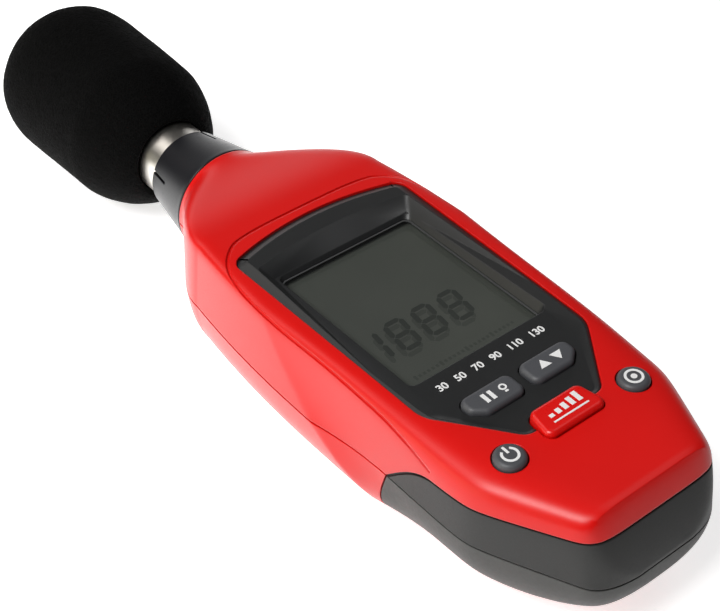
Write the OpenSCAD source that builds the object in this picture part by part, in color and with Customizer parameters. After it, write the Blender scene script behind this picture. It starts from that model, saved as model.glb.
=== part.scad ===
// Handheld sound level meter lying on its flat back, display up.
// X runs across the case, Y runs up the case to the microphone and Z comes out of the display.
// The origin is the mouth of the tripod socket in the flat back.

/* [Case] */
// Width across the widest part of the head
case_w = 55.2; // [53:0.2:60]
// Width at the shoulders, where the flare to the neck starts
shoulder_w = 50.8; // [49:0.2:53]
// Width across the waist, above the grips
waist_w = 50.4; // [48:0.2:52]
// Width of the tapered foot, carried on to the bottom end
foot_w = 28; // [26:0.5:32]
// From the middle of the wide key to the bottom end
foot_tail = 26.1; // [25:0.1:30]
// From the tripod socket to the end of the neck
neck_reach = 42; // [40:0.5:46]
// Length of the flare between the shoulders and the neck
flare_len = 26; // [22:0.5:28]
// Diameter of the neck end
neck_d = 25.2; // [24:0.2:27]
// Height of the face above the parting plane
face_h = 15.4; // [15:0.1:17]
// How far each side of the front leans in, from the parting plane up to the face
side_lean = 1.8; // [1:0.1:2.4]
// How far each side of the back leans in, from the parting plane down to the flat back
rear_lean = 1.4; // [0.6:0.1:2]
// Height of the parting plane above the flat back
back_h = 16.5; // [16:0.1:18]
// Wall of both shells
wall = 2.4; // [2:0.1:2.6]
// Wall of the front shell under the face
roof = 2.8; // [2.4:0.1:3]

/* [Grips] */
// Thickness of the moulded grips
grip_t = 1.2; // [0.8:0.1:1.4]
// Length of the grips along the parting plane, from the bottom end
grip_len = 45.8; // [43:0.1:49]
// Height of the front grip's edge above the parting plane, at its upper corner
grip_edge_h = 8.4; // [7:0.1:9]
// Height of the front grip's edge above the parting plane, at the bottom end
grip_end_h = 11; // [10:0.1:12]
// Height of the rear grip's lower edge above the flat back
grip_low_h = 4.5; // [4:0.1:6]

/* [Display] */
// Width of the opening over the display
view_w = 32.8; // [30:0.2:34]
// Length of the opening over the display
view_l = 39.2; // [36:0.2:40]
// From the tripod socket down to the upper edge of the display opening
view_drop = 3.2; // [2:0.2:5]
// From the display opening to the side of the bezel
bezel_side = 5.1; // [4.6:0.1:5.6]
// From the tripod socket up to the crest of the bezel
bezel_reach = 10.4; // [9:0.2:11]
// How far the bezel stands proud of the face
bezel_rise = 0.4; // [0.2:0.1:0.6]
// Depth of the well below the face, at the foot of its brow
well_depth = 1.7; // [1.2:0.1:1.9]
// Depth of the well below the face, at its lower end
toe_depth = 0.7; // [0.5:0.1:1]
// Thickness of the clear window
window_t = 1.2; // [1:0.1:1.4]
// Thickness of the liquid crystal panel
lcd_t = 2.6; // [2.2:0.1:2.8]

/* [Keys] */
// Travel of every key
key_travel = 0.8; // [0.5:0.05:0.9]
// Width of the two oblong keys
oblong_w = 12; // [10:0.2:12.6]
// Length of the two oblong keys
oblong_l = 5.8; // [5:0.2:6.4]
// From the centre line to the middle of an oblong key
oblong_x = 7.1; // [6.8:0.1:7.6]
// From the display opening down to the oblong keys
oblong_gap = 8.6; // [7:0.1:10]
// Width of the wide key at its lower edge
wide_w = 14.6; // [13:0.2:16]
// Length of the wide key
wide_l = 7; // [6:0.2:7.4]
// From the oblong keys down to the wide key
wide_gap = 4.9; // [4:0.1:6]
// Diameter of the two round keys
round_d = 6.6; // [6:0.1:7]
// From the side of the case to the middle of a round key
round_inset = 12.5; // [12:0.1:13]
// From the middle of the wide key down to the middles of the round keys
round_below = 1.9; // [1:0.1:3]
// How far the keys stand out of the face
key_rise = 1.1; // [0.8:0.1:1.4]

/* [Microphone] */
// Length of the tapered collar outside the neck
collar_len = 15.7; // [13:0.1:17]
// Diameter of the collar at the microphone end
collar_end_d = 19.5; // [19:0.1:21]
// Diameter of the plated sleeve
sleeve_d = 17.6; // [16.6:0.1:18]
// Diameter of the capsule holder at the tip of the sleeve
tip_d = 13.2; // [12.8:0.1:14]
// Length of the sleeve outside the collar, to the end of the capsule holder
sleeve_len = 32; // [28:0.5:36]

/* [Windscreen] */
// Largest diameter of the foam
foam_d = 38.8; // [36:0.2:40]
// Diameter of the foam where its rounded lower end stops
foam_low_d = 37.2; // [34:0.2:38]
// Length of the foam
foam_len = 54.5; // [50:0.5:58]
// From the collar to the mouth of the foam
foam_gap = 7.9; // [6:0.1:9]

/* [Battery] */
// Diameter of one cell
cell_d = 10.5; // [10:0.1:10.6]
// Length of one cell
cell_l = 44.5; // [43:0.1:45]
// Thickness of the battery door
door_t = 3.2; // [2.8:0.1:3.4]

/* [Tripod socket] */
// Minor diameter of the quarter inch thread
socket_d = 5.1; // [5:0.05:5.3]
// Depth of the socket
socket_depth = 8; // [6:0.5:9]
// Outside diameter of the brass insert
insert_d = 9; // [8:0.2:9.4]

/* [Hidden] */

// Gap between pieces that are fixed to one another
fit = 0.05;
// Gap between pieces that move past one another
slide_gap = 0.3;
// A cut runs this far past what it cuts
past = 1;

// Places along the case, from the display down to the bottom end
view_top = -view_drop;
view_low = view_top - view_l;
oblong_y = view_low - oblong_gap - oblong_l / 2;
wide_y = oblong_y - oblong_l / 2 - wide_gap - wide_l / 2;
round_y = wide_y - round_below;
round_x = case_w / 2 - round_inset;
end_y = wide_y - foot_tail;
grip_y = end_y + grip_len;

// Form of the case: where its width changes, and how square and how round it is
neck_r = neck_d / 2;
flare_y = neck_reach - flare_len;
bulge_drop = 15.3;
bulge_y = view_top - bulge_drop;
flare_n = 1.75;
kink_lift = 16.4;
kink_y = view_low + kink_lift;
kink_slope = 1.3;
waist_len = 20;
waist_stretch = 3.5;
taper_drop = 2.2;
taper_y = wide_y - taper_drop;
taper_bend = 3;
foot_round_w = 5;
foot_round_n = 3;
foot_round_h = 5.6;
foot_lean_n = 1.2;
foot_round_back = 20;
foot_back_round_n = 1.85;
foot_blunt = 0.966;
back_crown = 0.6;
neck_n = 2;
head_n = 14;
foot_n = 5;
head_back_n = 3.5;
foot_back_n = 2.7;
ring_n = 4;
least_h = 0.2;

function ramp(a, b, v) = let (u = max(0, min(1, (v - a) / (b - a)))) u * u * (3 - 2 * u);
function mix(a, b, u) = a + (b - a) * u;

// Rounding of the bottom end: 1 away from the end, falling steeply at it
function foot_cap(y, length, n) = let (u = foot_blunt * max(0, (end_y + length - y) / length))
    pow(1 - pow(u, n), 1 / n);

// Half the width of the case at y, where dz is the height above the parting plane.
// The waist starts along a slanting crease, and the foot bends softly into its taper.
function head_half(y) = y < bulge_y ? case_w / 2
    : mix(case_w / 2, shoulder_w / 2, pow((y - bulge_y) / (flare_y - bulge_y), 2));
function waist_half(y, dz) = let (
    u = (kink_y + kink_slope * dz - y) / (waist_len + waist_stretch * max(0, dz)))
    mix(case_w / 2, waist_w / 2, 1 - pow(1 - max(0, min(1, u)), 2));
function foot_take(y) = let (d = taper_y - y)
    (waist_w - foot_w) / 4 * (d + sqrt(d * d + taper_bend * taper_bend)) / (taper_y - end_y);
function flare_half(y) = mix(neck_r, shoulder_w / 2, pow(sin(90 * (neck_reach - y) / flare_len), flare_n));
function lean(y, dz) = (1 - ramp(flare_y, neck_reach, y)) * (dz < 0 ? -rear_lean * dz / back_h
    : side_lean * ramp(taper_y, bulge_y, y) * dz / face_h);
function half_w(y, dz) = (y > flare_y ? flare_half(y)
    : (min(head_half(y), waist_half(y, dz)) - foot_take(y)) * foot_cap(y, foot_round_w, foot_round_n)) - lean(y, dz);

// Heights of the front and the back from the parting plane, and how square the sections are
function front_h(y) = mix(face_h, neck_r, ramp(flare_y, neck_reach, y)) * foot_cap(y, foot_round_h, foot_lean_n);
function rear_h(y) = mix(back_h + back_crown, neck_r, ramp(flare_y, neck_reach, y))
    * foot_cap(y, foot_round_back, foot_back_round_n);
function front_n(y) = min(mix(head_n, neck_n, ramp(flare_y, neck_reach, y)),
    mix(foot_n, head_n, ramp(taper_y, bulge_y, y)));
function rear_n(y) = min(mix(head_back_n, neck_n, ramp(flare_y, neck_reach, y)),
    mix(foot_back_n, head_back_n, ramp(taper_y, bulge_y, y)));

// Stations along the case, closer together at the foot and in the flare
stations = concat(
    [for (i = [0 : 5]) end_y + foot_round_w * (1 - cos(18 * i))],
    [for (i = [1 : 3]) mix(end_y + foot_round_w, taper_y - taper_bend, i / 3)],
    [taper_y, taper_y + taper_bend],
    [for (i = [1 : 4]) mix(taper_y + taper_bend, kink_y, i / 4)],
    [for (i = [1 : 4]) mix(kink_y, flare_y, i / 4)],
    [for (i = [1 : 7]) mix(flare_y, neck_reach, i / 7)]);

// One quarter of a squared ellipse of unit size: even steps up the side, closing in on the corner,
// and the same steps back along the face.
function quarter(n) = let (up = [for (j = [0 : ring_n]) pow(2, -1 / n) * (1 - pow(1 - j / ring_n, 1.5))])
    concat([for (v = up) [pow(1 - pow(v, n), 1 / n), v]],
        [for (j = [ring_n - 1 : -1 : 0]) [up[j], pow(1 - pow(up[j], n), 1 / n)]]);

// One section, taken in by dw at the sides and dh at the face. side is 1 for the front and -1 for the
// back, low keeps the back flat and skirt carries the section past the parting plane.
function section(y, side, dw, dh, low, skirt) = let (
    height = max(least_h, (side > 0 ? front_h(y) : rear_h(y)) - dh),
    q = quarter(side > 0 ? front_n(y) : rear_n(y)),
    last = len(q) - 1,
    arc = [for (j = [0 : 2 * last]) let (
        p = j > last ? q[2 * last - j] : q[j],
        dz = height * p[1],
        x = (j > last ? -1 : 1) * (half_w(y, side * dz) - dw) * p[0])
        [x, y + dw * max(0, 1 - (y - end_y) / (2 * foot_round_w)), max(low, back_h + side * dz)]])
    skirt == 0 ? arc : concat([arc[0] - [0, 0, side * skirt]], arc, [arc[2 * last] - [0, 0, side * skirt]]);

// upto leaves out the stations above it, for pieces that need only the lower part of the case.
module loft(side, dw = 0, dh = 0, low = 0, skirt = 0, upto = neck_reach) {
    rings = [for (y = stations) if (y <= upto) section(y, side, dw, dh, low, skirt)];
    n = len(rings[0]);
    m = len(rings);
    walls = [for (i = [0 : m - 2], j = [0 : n - 1]) let (a = i * n + j, b = i * n + (j + 1) % n)
        each [[a, b, b + n], [a, b + n, a + n]]];
    caps = [[for (j = [n - 1 : -1 : 0]) j], [for (j = [0 : n - 1]) (m - 1) * n + j]];
    faces = concat(walls, caps);
    polyhedron([for (r = rings) each r],
        side < 0 ? [for (f = faces) [for (k = [len(f) - 1 : -1 : 0]) f[k]]] : faces);
}

// Heights of the layers under the face
face_z = back_h + face_h;
well_z = face_z - well_depth;
floor_t = 1;
bezel_edge_t = 2.2;
bezel_seat = face_z - bezel_edge_t;
window_top = well_z - floor_t - fit;
bezel_base = window_top - window_t;
lcd_top = bezel_base - fit;
backlight_t = 2.6;
board_top = lcd_top - lcd_t - backlight_t;
board_t = 1.6;
roof_z = face_z - roof;

// The display opening and the layers under it
window_lap = 2;
lcd_lap = 3;
lcd_side_lap = 1.8;
backlight_lap = 0.6;
connector_l = 1.6;

module box_between(low, high) translate(low) cube(high - low);

// A slab with rounded corners in plan, from z0 to z1
module slab(w, l, r, z0, z1) translate([0, 0, z0]) linear_extrude(z1 - z0) hull()
    for (x = [-1, 1], y = [-1, 1]) translate([x * (w / 2 - r), y * (l / 2 - r)]) circle(r, $fn = 24);

// A solid turned about the microphone axis, from [radius, y] points
module turned(points) translate([0, 0, back_h]) rotate([-90, 0, 0]) rotate_extrude($fn = 64)
    polygon(points);

// A tube with its axis along Z
module ring(r_out, r_in, z0, z1) difference() {
    translate([0, 0, z0]) cylinder(z1 - z0, r = r_out, $fn = 40);
    translate([0, 0, z0 - past]) cylinder(z1 - z0 + 2 * past, r = r_in, $fn = 40);
}

// Screws that join the shells, and the posts that take them
post_r = 2.9;
upper_post = [17.5, flare_y + 5];
lower_post = [8.3, end_y + 12.5];
case_posts = [for (p = [upper_post, lower_post], s = [1, -1]) [s * p[0], p[1]]];
case_screw_r = 1.25;
case_head_r = 2.4;
case_head_t = 1.6;
case_head_seat = 5.4;
case_bite = 8;
case_screw_z = back_h + case_bite;
thread_gap = 0.15;

// Screws that hold the main board under its posts
board_post_r = 2.5;
board_screw_r = 1;
board_head_r = 1.9;
board_head_t = 1.4;
board_bite = 4.5;
board_screw_z = board_top + board_bite;
board_half = 18.5;
board_clear = 0.6;
switch_w = 6;
board_y1 = upper_post[1] - post_r - board_clear;
board_y0 = lower_post[1] + post_r + board_clear;
board_corner_y = round_y - switch_w / 2 - board_clear;
board_posts = [[board_half - 2, board_y1 - 3.6], [2 - board_half, board_y1 - 3.6], [0, board_y0 + 2.7]];
board_toe_half = 7;

// The battery bay in the rear shell and its door
cell_pitch = cell_d + 0.25;
cell_room = 0.3;
plate_t = 0.4;
spring_l = 5.6;
bay_wall = 1.2;
bay_half = cell_pitch + cell_d / 2 + cell_room;
bay_y1 = -insert_d / 2 - 3.5;
bay_y0 = bay_y1 - cell_l - spring_l - 2 * plate_t - 2 * fit;
bay_z0 = door_t + fit;
bay_z1 = bay_z0 + cell_d + 2 * cell_room;
cell_z = (bay_z0 + bay_z1) / 2;
door_lap = 1.3;
door_half = bay_half + door_lap;
door_y1 = bay_y1 + door_lap;
door_y0 = bay_y0 - door_lap;
door_tab_r = 4.2;
door_tab_y = door_y0 - 3.8;
door_screw_r = 1;
door_head_r = 1.9;
door_head_t = 1.2;
door_head_seat = 1.8;
door_screw_z = door_t + 5;
ledge_t = 1.4;

// The grips' edges as seen from the side, as [y, z] points
grip_rise_l = 13;
function front_edge(gap) = concat(
    [for (i = [0 : 6]) [grip_y - gap - grip_rise_l * i / 6,
        back_h - gap + grip_edge_h * sin(15 * i)]],
    [[end_y - past, back_h - gap + grip_end_h], [end_y - past, back_h - past]],
    [[grip_y - gap, back_h - past]]);
function rear_edge(gap) = concat(
    [for (i = [0 : 4]) [grip_y - gap + 2.7 * sin(22.5 * i),
        mix(back_h, grip_low_h + gap, i / 4)]],
    [[end_y - past, grip_low_h + gap], [end_y - past, back_h + past]],
    [[grip_y - gap, back_h + past]]);
module side_prism(points) rotate([90, 0, 90]) linear_extrude(case_w + 2 * past, center = true)
    polygon(points);

// The bezel's outline: an arched top, straight sides and two long slopes to the wide key
bezel_half = view_w / 2 + bezel_side;
bezel_arch = 3.8;
bezel_waist = 1.1;
bezel_slope_lift = 3.9;
bezel_slope_y = oblong_y + bezel_slope_lift;
bezel_toe_half = 9.1;
bezel_toe_y = wide_y - 0.1;
bezel_round = 2;
module bezel_plain() polygon(concat(
    [for (i = [-5 : 5]) [bezel_half * i / 5, bezel_reach - bezel_arch * pow(i / 5, 2)]],
    [[bezel_half - bezel_waist, bezel_slope_y], [bezel_toe_half, bezel_toe_y]],
    [[-bezel_toe_half, bezel_toe_y], [bezel_waist - bezel_half, bezel_slope_y]]));
module bezel_outline(grow = 0, round_r = bezel_round) offset(round_r + grow, $fn = 24)
    offset(delta = -round_r) bezel_plain();

// The hole through the face behind the bezel
seat_lap = 2;
opening_y0 = oblong_y - oblong_l / 2 - 2.4;
opening_y1 = view_top + window_lap + 1.4;
module face_opening(grow = 0) intersection() {
    bezel_outline(grow - seat_lap);
    translate([-case_w / 2, opening_y0 - grow]) square([case_w, opening_y1 - opening_y0 + 2 * grow]);
}

// The sloped well: a long slope under an arched brow, and a floor that rises towards its lower end
brow_gap = 3.4;
brow_y = view_top + brow_gap;
brow_w = 2.9;
floor_side = 0.5;
floor_edge = 1.2;
well_round = 3;
toe_z = face_z - toe_depth;
function floor_z(y) = mix(well_z, toe_z, (brow_y - y) / (brow_y - bezel_toe_y));
floor_tilt = atan((well_z - toe_z) / (brow_y - bezel_toe_y));
module well_floor() translate([0, brow_y, well_z]) rotate([floor_tilt, 0, 0])
    translate([0, -brow_y]) linear_extrude(fit) intersection() {
        bezel_outline(-floor_edge, well_round);
        translate([-view_w / 2 - floor_side, end_y])
            square([view_w + 2 * floor_side, brow_y - end_y]);
    }
module well_rim() {
    intersection() {
        bezel_outline(-brow_w, well_round);
        translate([-case_w / 2, kink_y]) square([case_w, case_w]);
    }
    intersection() {
        bezel_outline(floor_edge, well_round);
        translate([-case_w / 2, end_y]) square([case_w, bezel_slope_y - end_y]);
    }
}

// Outlines of the keys about their own middles
key_round = 1;
key_gap = 0.25;
key_lip = 1.1;
key_lip_t = 0.8;
key_bevel = 0.5;
oblong_cut = [2.8, 2.3];
wide_taper = 1.3;
module oblong_outline(grow = 0) offset(key_round + grow, $fn = 24) offset(delta = -key_round) polygon([
    [-oblong_w / 2, -oblong_l / 2], [oblong_w / 2 - oblong_cut[0], -oblong_l / 2],
    [oblong_w / 2, oblong_cut[1] - oblong_l / 2], [oblong_w / 2, oblong_l / 2],
    [-oblong_w / 2, oblong_l / 2]]);
module wide_outline(grow = 0) offset(key_round + grow, $fn = 24) offset(delta = -key_round) polygon([
    [-wide_w / 2, -wide_l / 2], [wide_w / 2, -wide_l / 2],
    [wide_w / 2 - wide_taper, wide_l / 2], [wide_taper - wide_w / 2, wide_l / 2]]);
module round_outline(grow = 0) circle(round_d / 2 + grow, $fn = 36);

// Heights of the keys: where each lip rests below its hole, and where each top is
round_dip = 1;
round_well_z = roof_z - round_dip - 0.2;
oblong_lip_z = bezel_base - slide_gap;
wide_lip_z = roof_z - slide_gap - 0.15;
round_lip_z = round_well_z - slide_gap;
oblong_top = floor_z(oblong_y) + key_rise;
wide_top = face_z + key_rise;
round_top = face_z - round_dip + key_rise;
key_places = [[-oblong_x, oblong_y, oblong_lip_z], [oblong_x, oblong_y, oblong_lip_z],
    [0, wide_y, wide_lip_z], [-round_x, round_y, round_lip_z], [round_x, round_y, round_lip_z]];
switch_t = 2.4;
switch_clear = 0.2;

// A key: a lip that keeps it in its hole, and a cap with a bevelled top.
// The first child is the lip's outline, the second the cap's and the third the top's.
module key(lip_z, top_z) {
    translate([0, 0, lip_z - key_lip_t]) linear_extrude(key_lip_t) children(0);
    hull() {
        translate([0, 0, lip_z - fit]) linear_extrude(top_z - key_bevel - lip_z) children(1);
        translate([0, 0, lip_z - fit]) linear_extrude(top_z - lip_z + fit) children(2);
    }
}

// The line moulded over the brow and along each edge of the face, then down the side to the grip's corner
line_w = 0.5;
line_depth = 0.35;
edge_half = case_w / 2 - side_lean - 1.3;
line_points = [[0, bezel_reach + 4.3], [10, bezel_reach + 4], [edge_half - 7.5, bezel_reach + 3],
    [edge_half - 4, bezel_reach + 1.4], [edge_half - 2.1, bezel_reach - 1.2], [edge_half - 1, bezel_reach - 5.4],
    [edge_half, view_top - 4.8], [edge_half - 0.1, bulge_y + 1.5], [edge_half - 0.7, kink_y - 3],
    [edge_half - 1.2, grip_y - 0.5]];
side_points = [[grip_y - 0.5, face_h - 1.2], [grip_y - 5, face_h - 1.9], [grip_y - 8, face_h - 3.2],
    [grip_y - 11, face_h - 5.1], [grip_y - grip_rise_l, grip_edge_h]];
module side_lines() difference() {
    for (s = [-1, 1]) {
        for (i = [0 : len(line_points) - 2]) hull() for (p = [line_points[i], line_points[i + 1]])
            translate([s * p[0], p[1], back_h + 5]) cylinder(face_h, d = line_w, $fn = 6);
        for (i = [0 : len(side_points) - 2]) hull() for (p = [side_points[i], side_points[i + 1]])
            translate([s * case_w / 2, p[0], back_h + p[1]]) rotate([0, -90 * s, 0])
                cylinder(case_w / 6, d = line_w, $fn = 6);
    }
    loft(1, line_depth, line_depth);
}

module front_shell() color("#d41c12") difference() {
    union() {
        difference() {
            loft(1);
            loft(1, wall, roof, 0, past);
        }
        intersection() {
            loft(1);
            union() {
                for (p = case_posts) translate([p[0], p[1], back_h]) cylinder(face_h, r = post_r, $fn = 24);
                for (p = board_posts) translate([p[0], p[1], board_top])
                    cylinder(face_h, r = board_post_r, $fn = 24);
            }
        }
    }
    difference() {
        side_prism(front_edge(0));
        loft(1, grip_t + fit, grip_t + fit, upto = kink_y);
    }
    translate([0, 0, bezel_seat - fit]) linear_extrude(face_h) bezel_outline(fit);
    translate([0, 0, back_h + past]) linear_extrude(face_h) face_opening(fit);
    translate([0, wide_y, back_h + past]) linear_extrude(face_h + past) wide_outline(key_gap);
    for (s = [-1, 1]) translate([s * round_x, round_y, 0]) {
        translate([0, 0, back_h + past]) linear_extrude(face_h) round_outline(key_gap);
        translate([0, 0, round_well_z - 4]) linear_extrude(4) round_outline(key_lip + key_gap);
    }
    for (p = case_posts) translate([p[0], p[1], back_h - past])
        cylinder(case_screw_z - back_h + 2 * past, r = case_screw_r + fit, $fn = 16);
    for (p = board_posts) translate([p[0], p[1], board_top - past])
        cylinder(board_screw_z - board_top + 2 * past, r = board_screw_r + fit, $fn = 16);
    side_lines();
}

module rear_shell() color("#c2180f") difference() {
    union() {
        difference() {
            loft(-1);
            loft(-1, wall, wall, wall, past);
        }
        intersection() {
            loft(-1);
            union() {
                box_between([-door_half - bay_wall, door_tab_y - door_tab_r - bay_wall, 0],
                    [door_half + bay_wall, door_y1 + bay_wall, door_t + ledge_t]);
                box_between([-bay_half - bay_wall, bay_y0 - bay_wall, 0],
                    [bay_half + bay_wall, bay_y1 + bay_wall, bay_z1 + bay_wall]);
                translate([0, door_tab_y, 0]) cylinder(door_screw_z + past, r = post_r, $fn = 32);
                for (p = case_posts) translate([p[0], p[1], 0])
                    cylinder(back_h, r = post_r + 0.2, $fn = 32);
                cylinder(socket_depth + 1.6, r = insert_d / 2 + 1.6, $fn = 48);
            }
        }
    }
    box_between([-bay_half, bay_y0, -past], [bay_half, bay_y1, bay_z1]);
    translate([0, 0, -past]) linear_extrude(door_t + fit + past) door_outline(door_gap);
    translate([0, door_tab_y, 0]) cylinder(door_screw_z + 0.4, r = door_screw_r + thread_gap, $fn = 24);
    for (p = case_posts) translate([p[0], p[1], -past]) {
        cylinder(back_h + 2 * past, r = case_screw_r + thread_gap, $fn = 24);
        cylinder(case_head_seat + past, r = case_head_r + 0.3, $fn = 32);
    }
    translate([0, 0, -past]) cylinder(socket_depth + past, r = insert_d / 2 + fit, $fn = 48);
    difference() {
        side_prism(rear_edge(0));
        loft(-1, grip_t + fit, grip_t + fit, upto = kink_y);
    }
}

module front_grip() color("#3c3d3c") difference() {
    intersection() {
        loft(1, upto = kink_y);
        side_prism(front_edge(fit));
    }
    loft(1, grip_t, grip_t, 0, past, kink_y);
}

module rear_grip() color("#5c5b59") difference() {
    intersection() {
        loft(-1, upto = kink_y);
        side_prism(rear_edge(fit));
    }
    loft(-1, grip_t, grip_t, 0, past, kink_y);
}

// The sloped hood, the hole over the display, the holes for the keys and the seat of the window
module display_bezel() color("#232425") difference() {
    union() {
        intersection() {
            translate([0, 0, bezel_seat]) linear_extrude(face_h) bezel_outline();
            translate([0, 0, bezel_rise]) loft(1);
        }
        translate([0, 0, bezel_base]) linear_extrude(bezel_seat - bezel_base + fit) face_opening();
    }
    hull() {
        well_floor();
        translate([0, 0, face_z + bezel_rise]) linear_extrude(past) well_rim();
    }
    translate([0, view_top - view_l / 2, 0]) {
        slab(view_w, view_l, 1, back_h, face_z);
        slab(view_w + 2 * window_lap + 2 * fit, view_l + 2 * window_lap + 2 * fit, 1,
            back_h, window_top + fit);
    }
    for (s = [0, 1]) mirror([s, 0]) translate([oblong_x, oblong_y, back_h])
        linear_extrude(face_h) oblong_outline(key_gap);
    translate([0, wide_y, back_h]) linear_extrude(face_h + past) wide_outline(key_gap);
}

module display_window() color("#aeb6b2", 0.35) translate([0, view_top - view_l / 2, 0])
    slab(view_w + 2 * window_lap, view_l + 2 * window_lap, 1, window_top - window_t, window_top);

module lcd_panel() color("#4a5047") translate([0, view_top - view_l / 2, 0])
    slab(view_w + 2 * lcd_side_lap, view_l + 2 * lcd_lap, 0.4, lcd_top - lcd_t, lcd_top);

module lcd_backlight() color("#e8e8e0") translate([0, view_top - view_l / 2, 0])
    slab(view_w + 2 * backlight_lap, view_l + 2 * backlight_lap, 0.6, board_top, lcd_top - lcd_t);

// Two rubber strips that join the panel's edges to the board
module lcd_connectors() color("#d98f9a") for (s = [-1, 1])
    translate([0, view_top - view_l / 2 + s * (view_l / 2 + lcd_lap - connector_l), 0])
        box_between([-view_w / 2, -connector_l / 2, board_top], [view_w / 2, connector_l / 2, lcd_top - lcd_t]);

module main_board() color("#2c6b3a") difference() {
    translate([0, 0, board_top - board_t]) linear_extrude(board_t) polygon([
        [-board_half, board_y1], [board_half, board_y1], [board_half, board_corner_y],
        [board_toe_half, board_y0], [-board_toe_half, board_y0], [-board_half, board_corner_y]]);
    for (p = board_posts) translate([p[0], p[1], board_top - board_t - past])
        cylinder(board_t + 2 * past, r = board_screw_r + 0.2, $fn = 24);
}

// Chips and other parts under the board, as [x, y, width, length, height]
chip_list = [[0, -20, 12, 12, 1.6], [-11, -6, 8, 5, 1.4], [-11, -18, 5, 5, 1.2], [11, -34, 9, 4, 1.5],
    [-9, -36, 5, 3.2, 1.6], [2, -36, 11, 4.6, 2.4], [-6, -48, 7, 4, 1.4], [8, -49, 4, 4, 1.8]];
plug_w = 7;
plug_l = 4;
plug_t = 3;
plug_y = board_y1 - 3;
module board_components() color("#2a2a2c") {
    for (c = chip_list) translate([c[0], c[1], board_top - board_t - c[4]])
        box_between([-c[2] / 2, -c[3] / 2, 0], [c[2] / 2, c[3] / 2, c[4]]);
    translate([0, plug_y, board_top - board_t - plug_t])
        box_between([-plug_w / 2, -plug_l / 2, 0], [plug_w / 2, plug_l / 2, plug_t]);
}

radio_w = 11;
radio_l = 16;
radio_y = -9;
radio_x = 11.5;
radio_t = 0.8;
shield_t = 1.6;
antenna_l = 4;
module radio_module() color("#b9bcbe") translate([radio_x, radio_y, board_top - board_t - radio_t]) {
    box_between([-radio_w / 2, -radio_l / 2, 0], [radio_w / 2, radio_l / 2, radio_t]);
    box_between([1 - radio_w / 2, 1 - radio_l / 2, -shield_t], [radio_w / 2 - 1, radio_l / 2 - antenna_l, fit]);
}

module key_switches() color("#8d8f92") for (k = key_places) translate([k[0], k[1], board_top]) {
    box_between([-switch_w / 2, -switch_w / 2, 0], [switch_w / 2, switch_w / 2, switch_t]);
    cylinder(k[2] - key_lip_t - key_travel - switch_clear - board_top, r = 1.75, $fn = 24);
}

module oblong_key() key(oblong_lip_z, oblong_top) {
    oblong_outline(key_lip);
    oblong_outline();
    oblong_outline(-key_bevel);
}
module round_key() key(round_lip_z, round_top) {
    round_outline(key_lip);
    round_outline();
    round_outline(-key_bevel);
}

module hold_button() color("#55575b") translate([-oblong_x, oblong_y, 0]) mirror([1, 0, 0]) oblong_key();
module max_min_button() color("#55575b") translate([oblong_x, oblong_y, 0]) oblong_key();
module range_button() color("#d41c12") translate([0, wide_y, 0]) key(wide_lip_z, wide_top) {
    wide_outline(key_lip);
    wide_outline();
    wide_outline(-key_bevel);
}
module power_button() color("#4a4b4e") translate([-round_x, round_y, 0]) round_key();
module link_button() color("#4a4b4e") translate([round_x, round_y, 0]) round_key();

// The collar plugs into the neck and carries the sleeve
collar_y1 = neck_reach + collar_len;
collar_end_r = collar_end_d / 2;
spigot_r = neck_r - max(wall, roof) - slide_gap / 2;
spigot_l = 7;
sleeve_r = sleeve_d / 2;
sleeve_seat = 7.5;
sleeve_y0 = collar_y1 - sleeve_seat;
lead_bore_r = 4;
slit_n = 6;
slit_w = 0.8;
slit_l = 5.5;
slit_depth = 0.7;
module mic_collar() color("#2b2c2f") difference() {
    turned([[lead_bore_r, neck_reach - spigot_l], [spigot_r, neck_reach - spigot_l], [spigot_r, neck_reach],
        [neck_r, neck_reach], [collar_end_r, collar_y1], [sleeve_r + fit, collar_y1],
        [sleeve_r + fit, sleeve_y0], [lead_bore_r, sleeve_y0]]);
    for (i = [0 : slit_n - 1]) translate([0, 0, back_h]) rotate([0, 360 / slit_n * i + 12, 0])
        box_between([-slit_w / 2, collar_y1 - slit_l, collar_end_r - slit_depth],
            [slit_w / 2, collar_y1 + past, neck_r + past]);
}

sleeve_wall = 1;
sleeve_y1 = collar_y1 + sleeve_len;
tip_r = tip_d / 2;
tip_l = 12;
shoulder_l = 4;
tip_wall = 0.6;
shoulder_y = sleeve_y1 - tip_l - shoulder_l;
module mic_sleeve() color("#c9c6bf") turned([
    [sleeve_r - sleeve_wall, sleeve_y0], [sleeve_r, sleeve_y0], [sleeve_r, shoulder_y],
    [tip_r, shoulder_y + shoulder_l], [tip_r, sleeve_y1], [tip_r - tip_wall, sleeve_y1],
    [tip_r - tip_wall, shoulder_y + shoulder_l - sleeve_wall], [sleeve_r - sleeve_wall, shoulder_y - sleeve_wall]]);

capsule_l = 9;
capsule_r = tip_r - tip_wall - fit;
module mic_capsule() color("#9a9ca0") turned([
    [0, sleeve_y1 - capsule_l], [capsule_r, sleeve_y1 - capsule_l], [capsule_r, sleeve_y1 - fit],
    [0, sleeve_y1 - fit]]);

// The cap over the capsule, with a ring of sound holes
grid_t = 1.2;
grid_hole_n = 6;
grid_hole_r = 1;
module mic_grid() color("#c9c6bf") difference() {
    turned([[0, sleeve_y1], [tip_r, sleeve_y1], [tip_r, sleeve_y1 + grid_t / 2],
        [tip_r - grid_t / 2, sleeve_y1 + grid_t], [0, sleeve_y1 + grid_t]]);
    for (i = [0 : grid_hole_n]) translate([0, sleeve_y1 - past, back_h])
        rotate([0, 360 / grid_hole_n * i, 0]) rotate([-90, 0, 0])
            translate([i < grid_hole_n ? tip_r * 0.55 : 0, 0, 0])
                cylinder(grid_t + 2 * past, r = grid_hole_r, $fn = 24);
}

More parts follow.
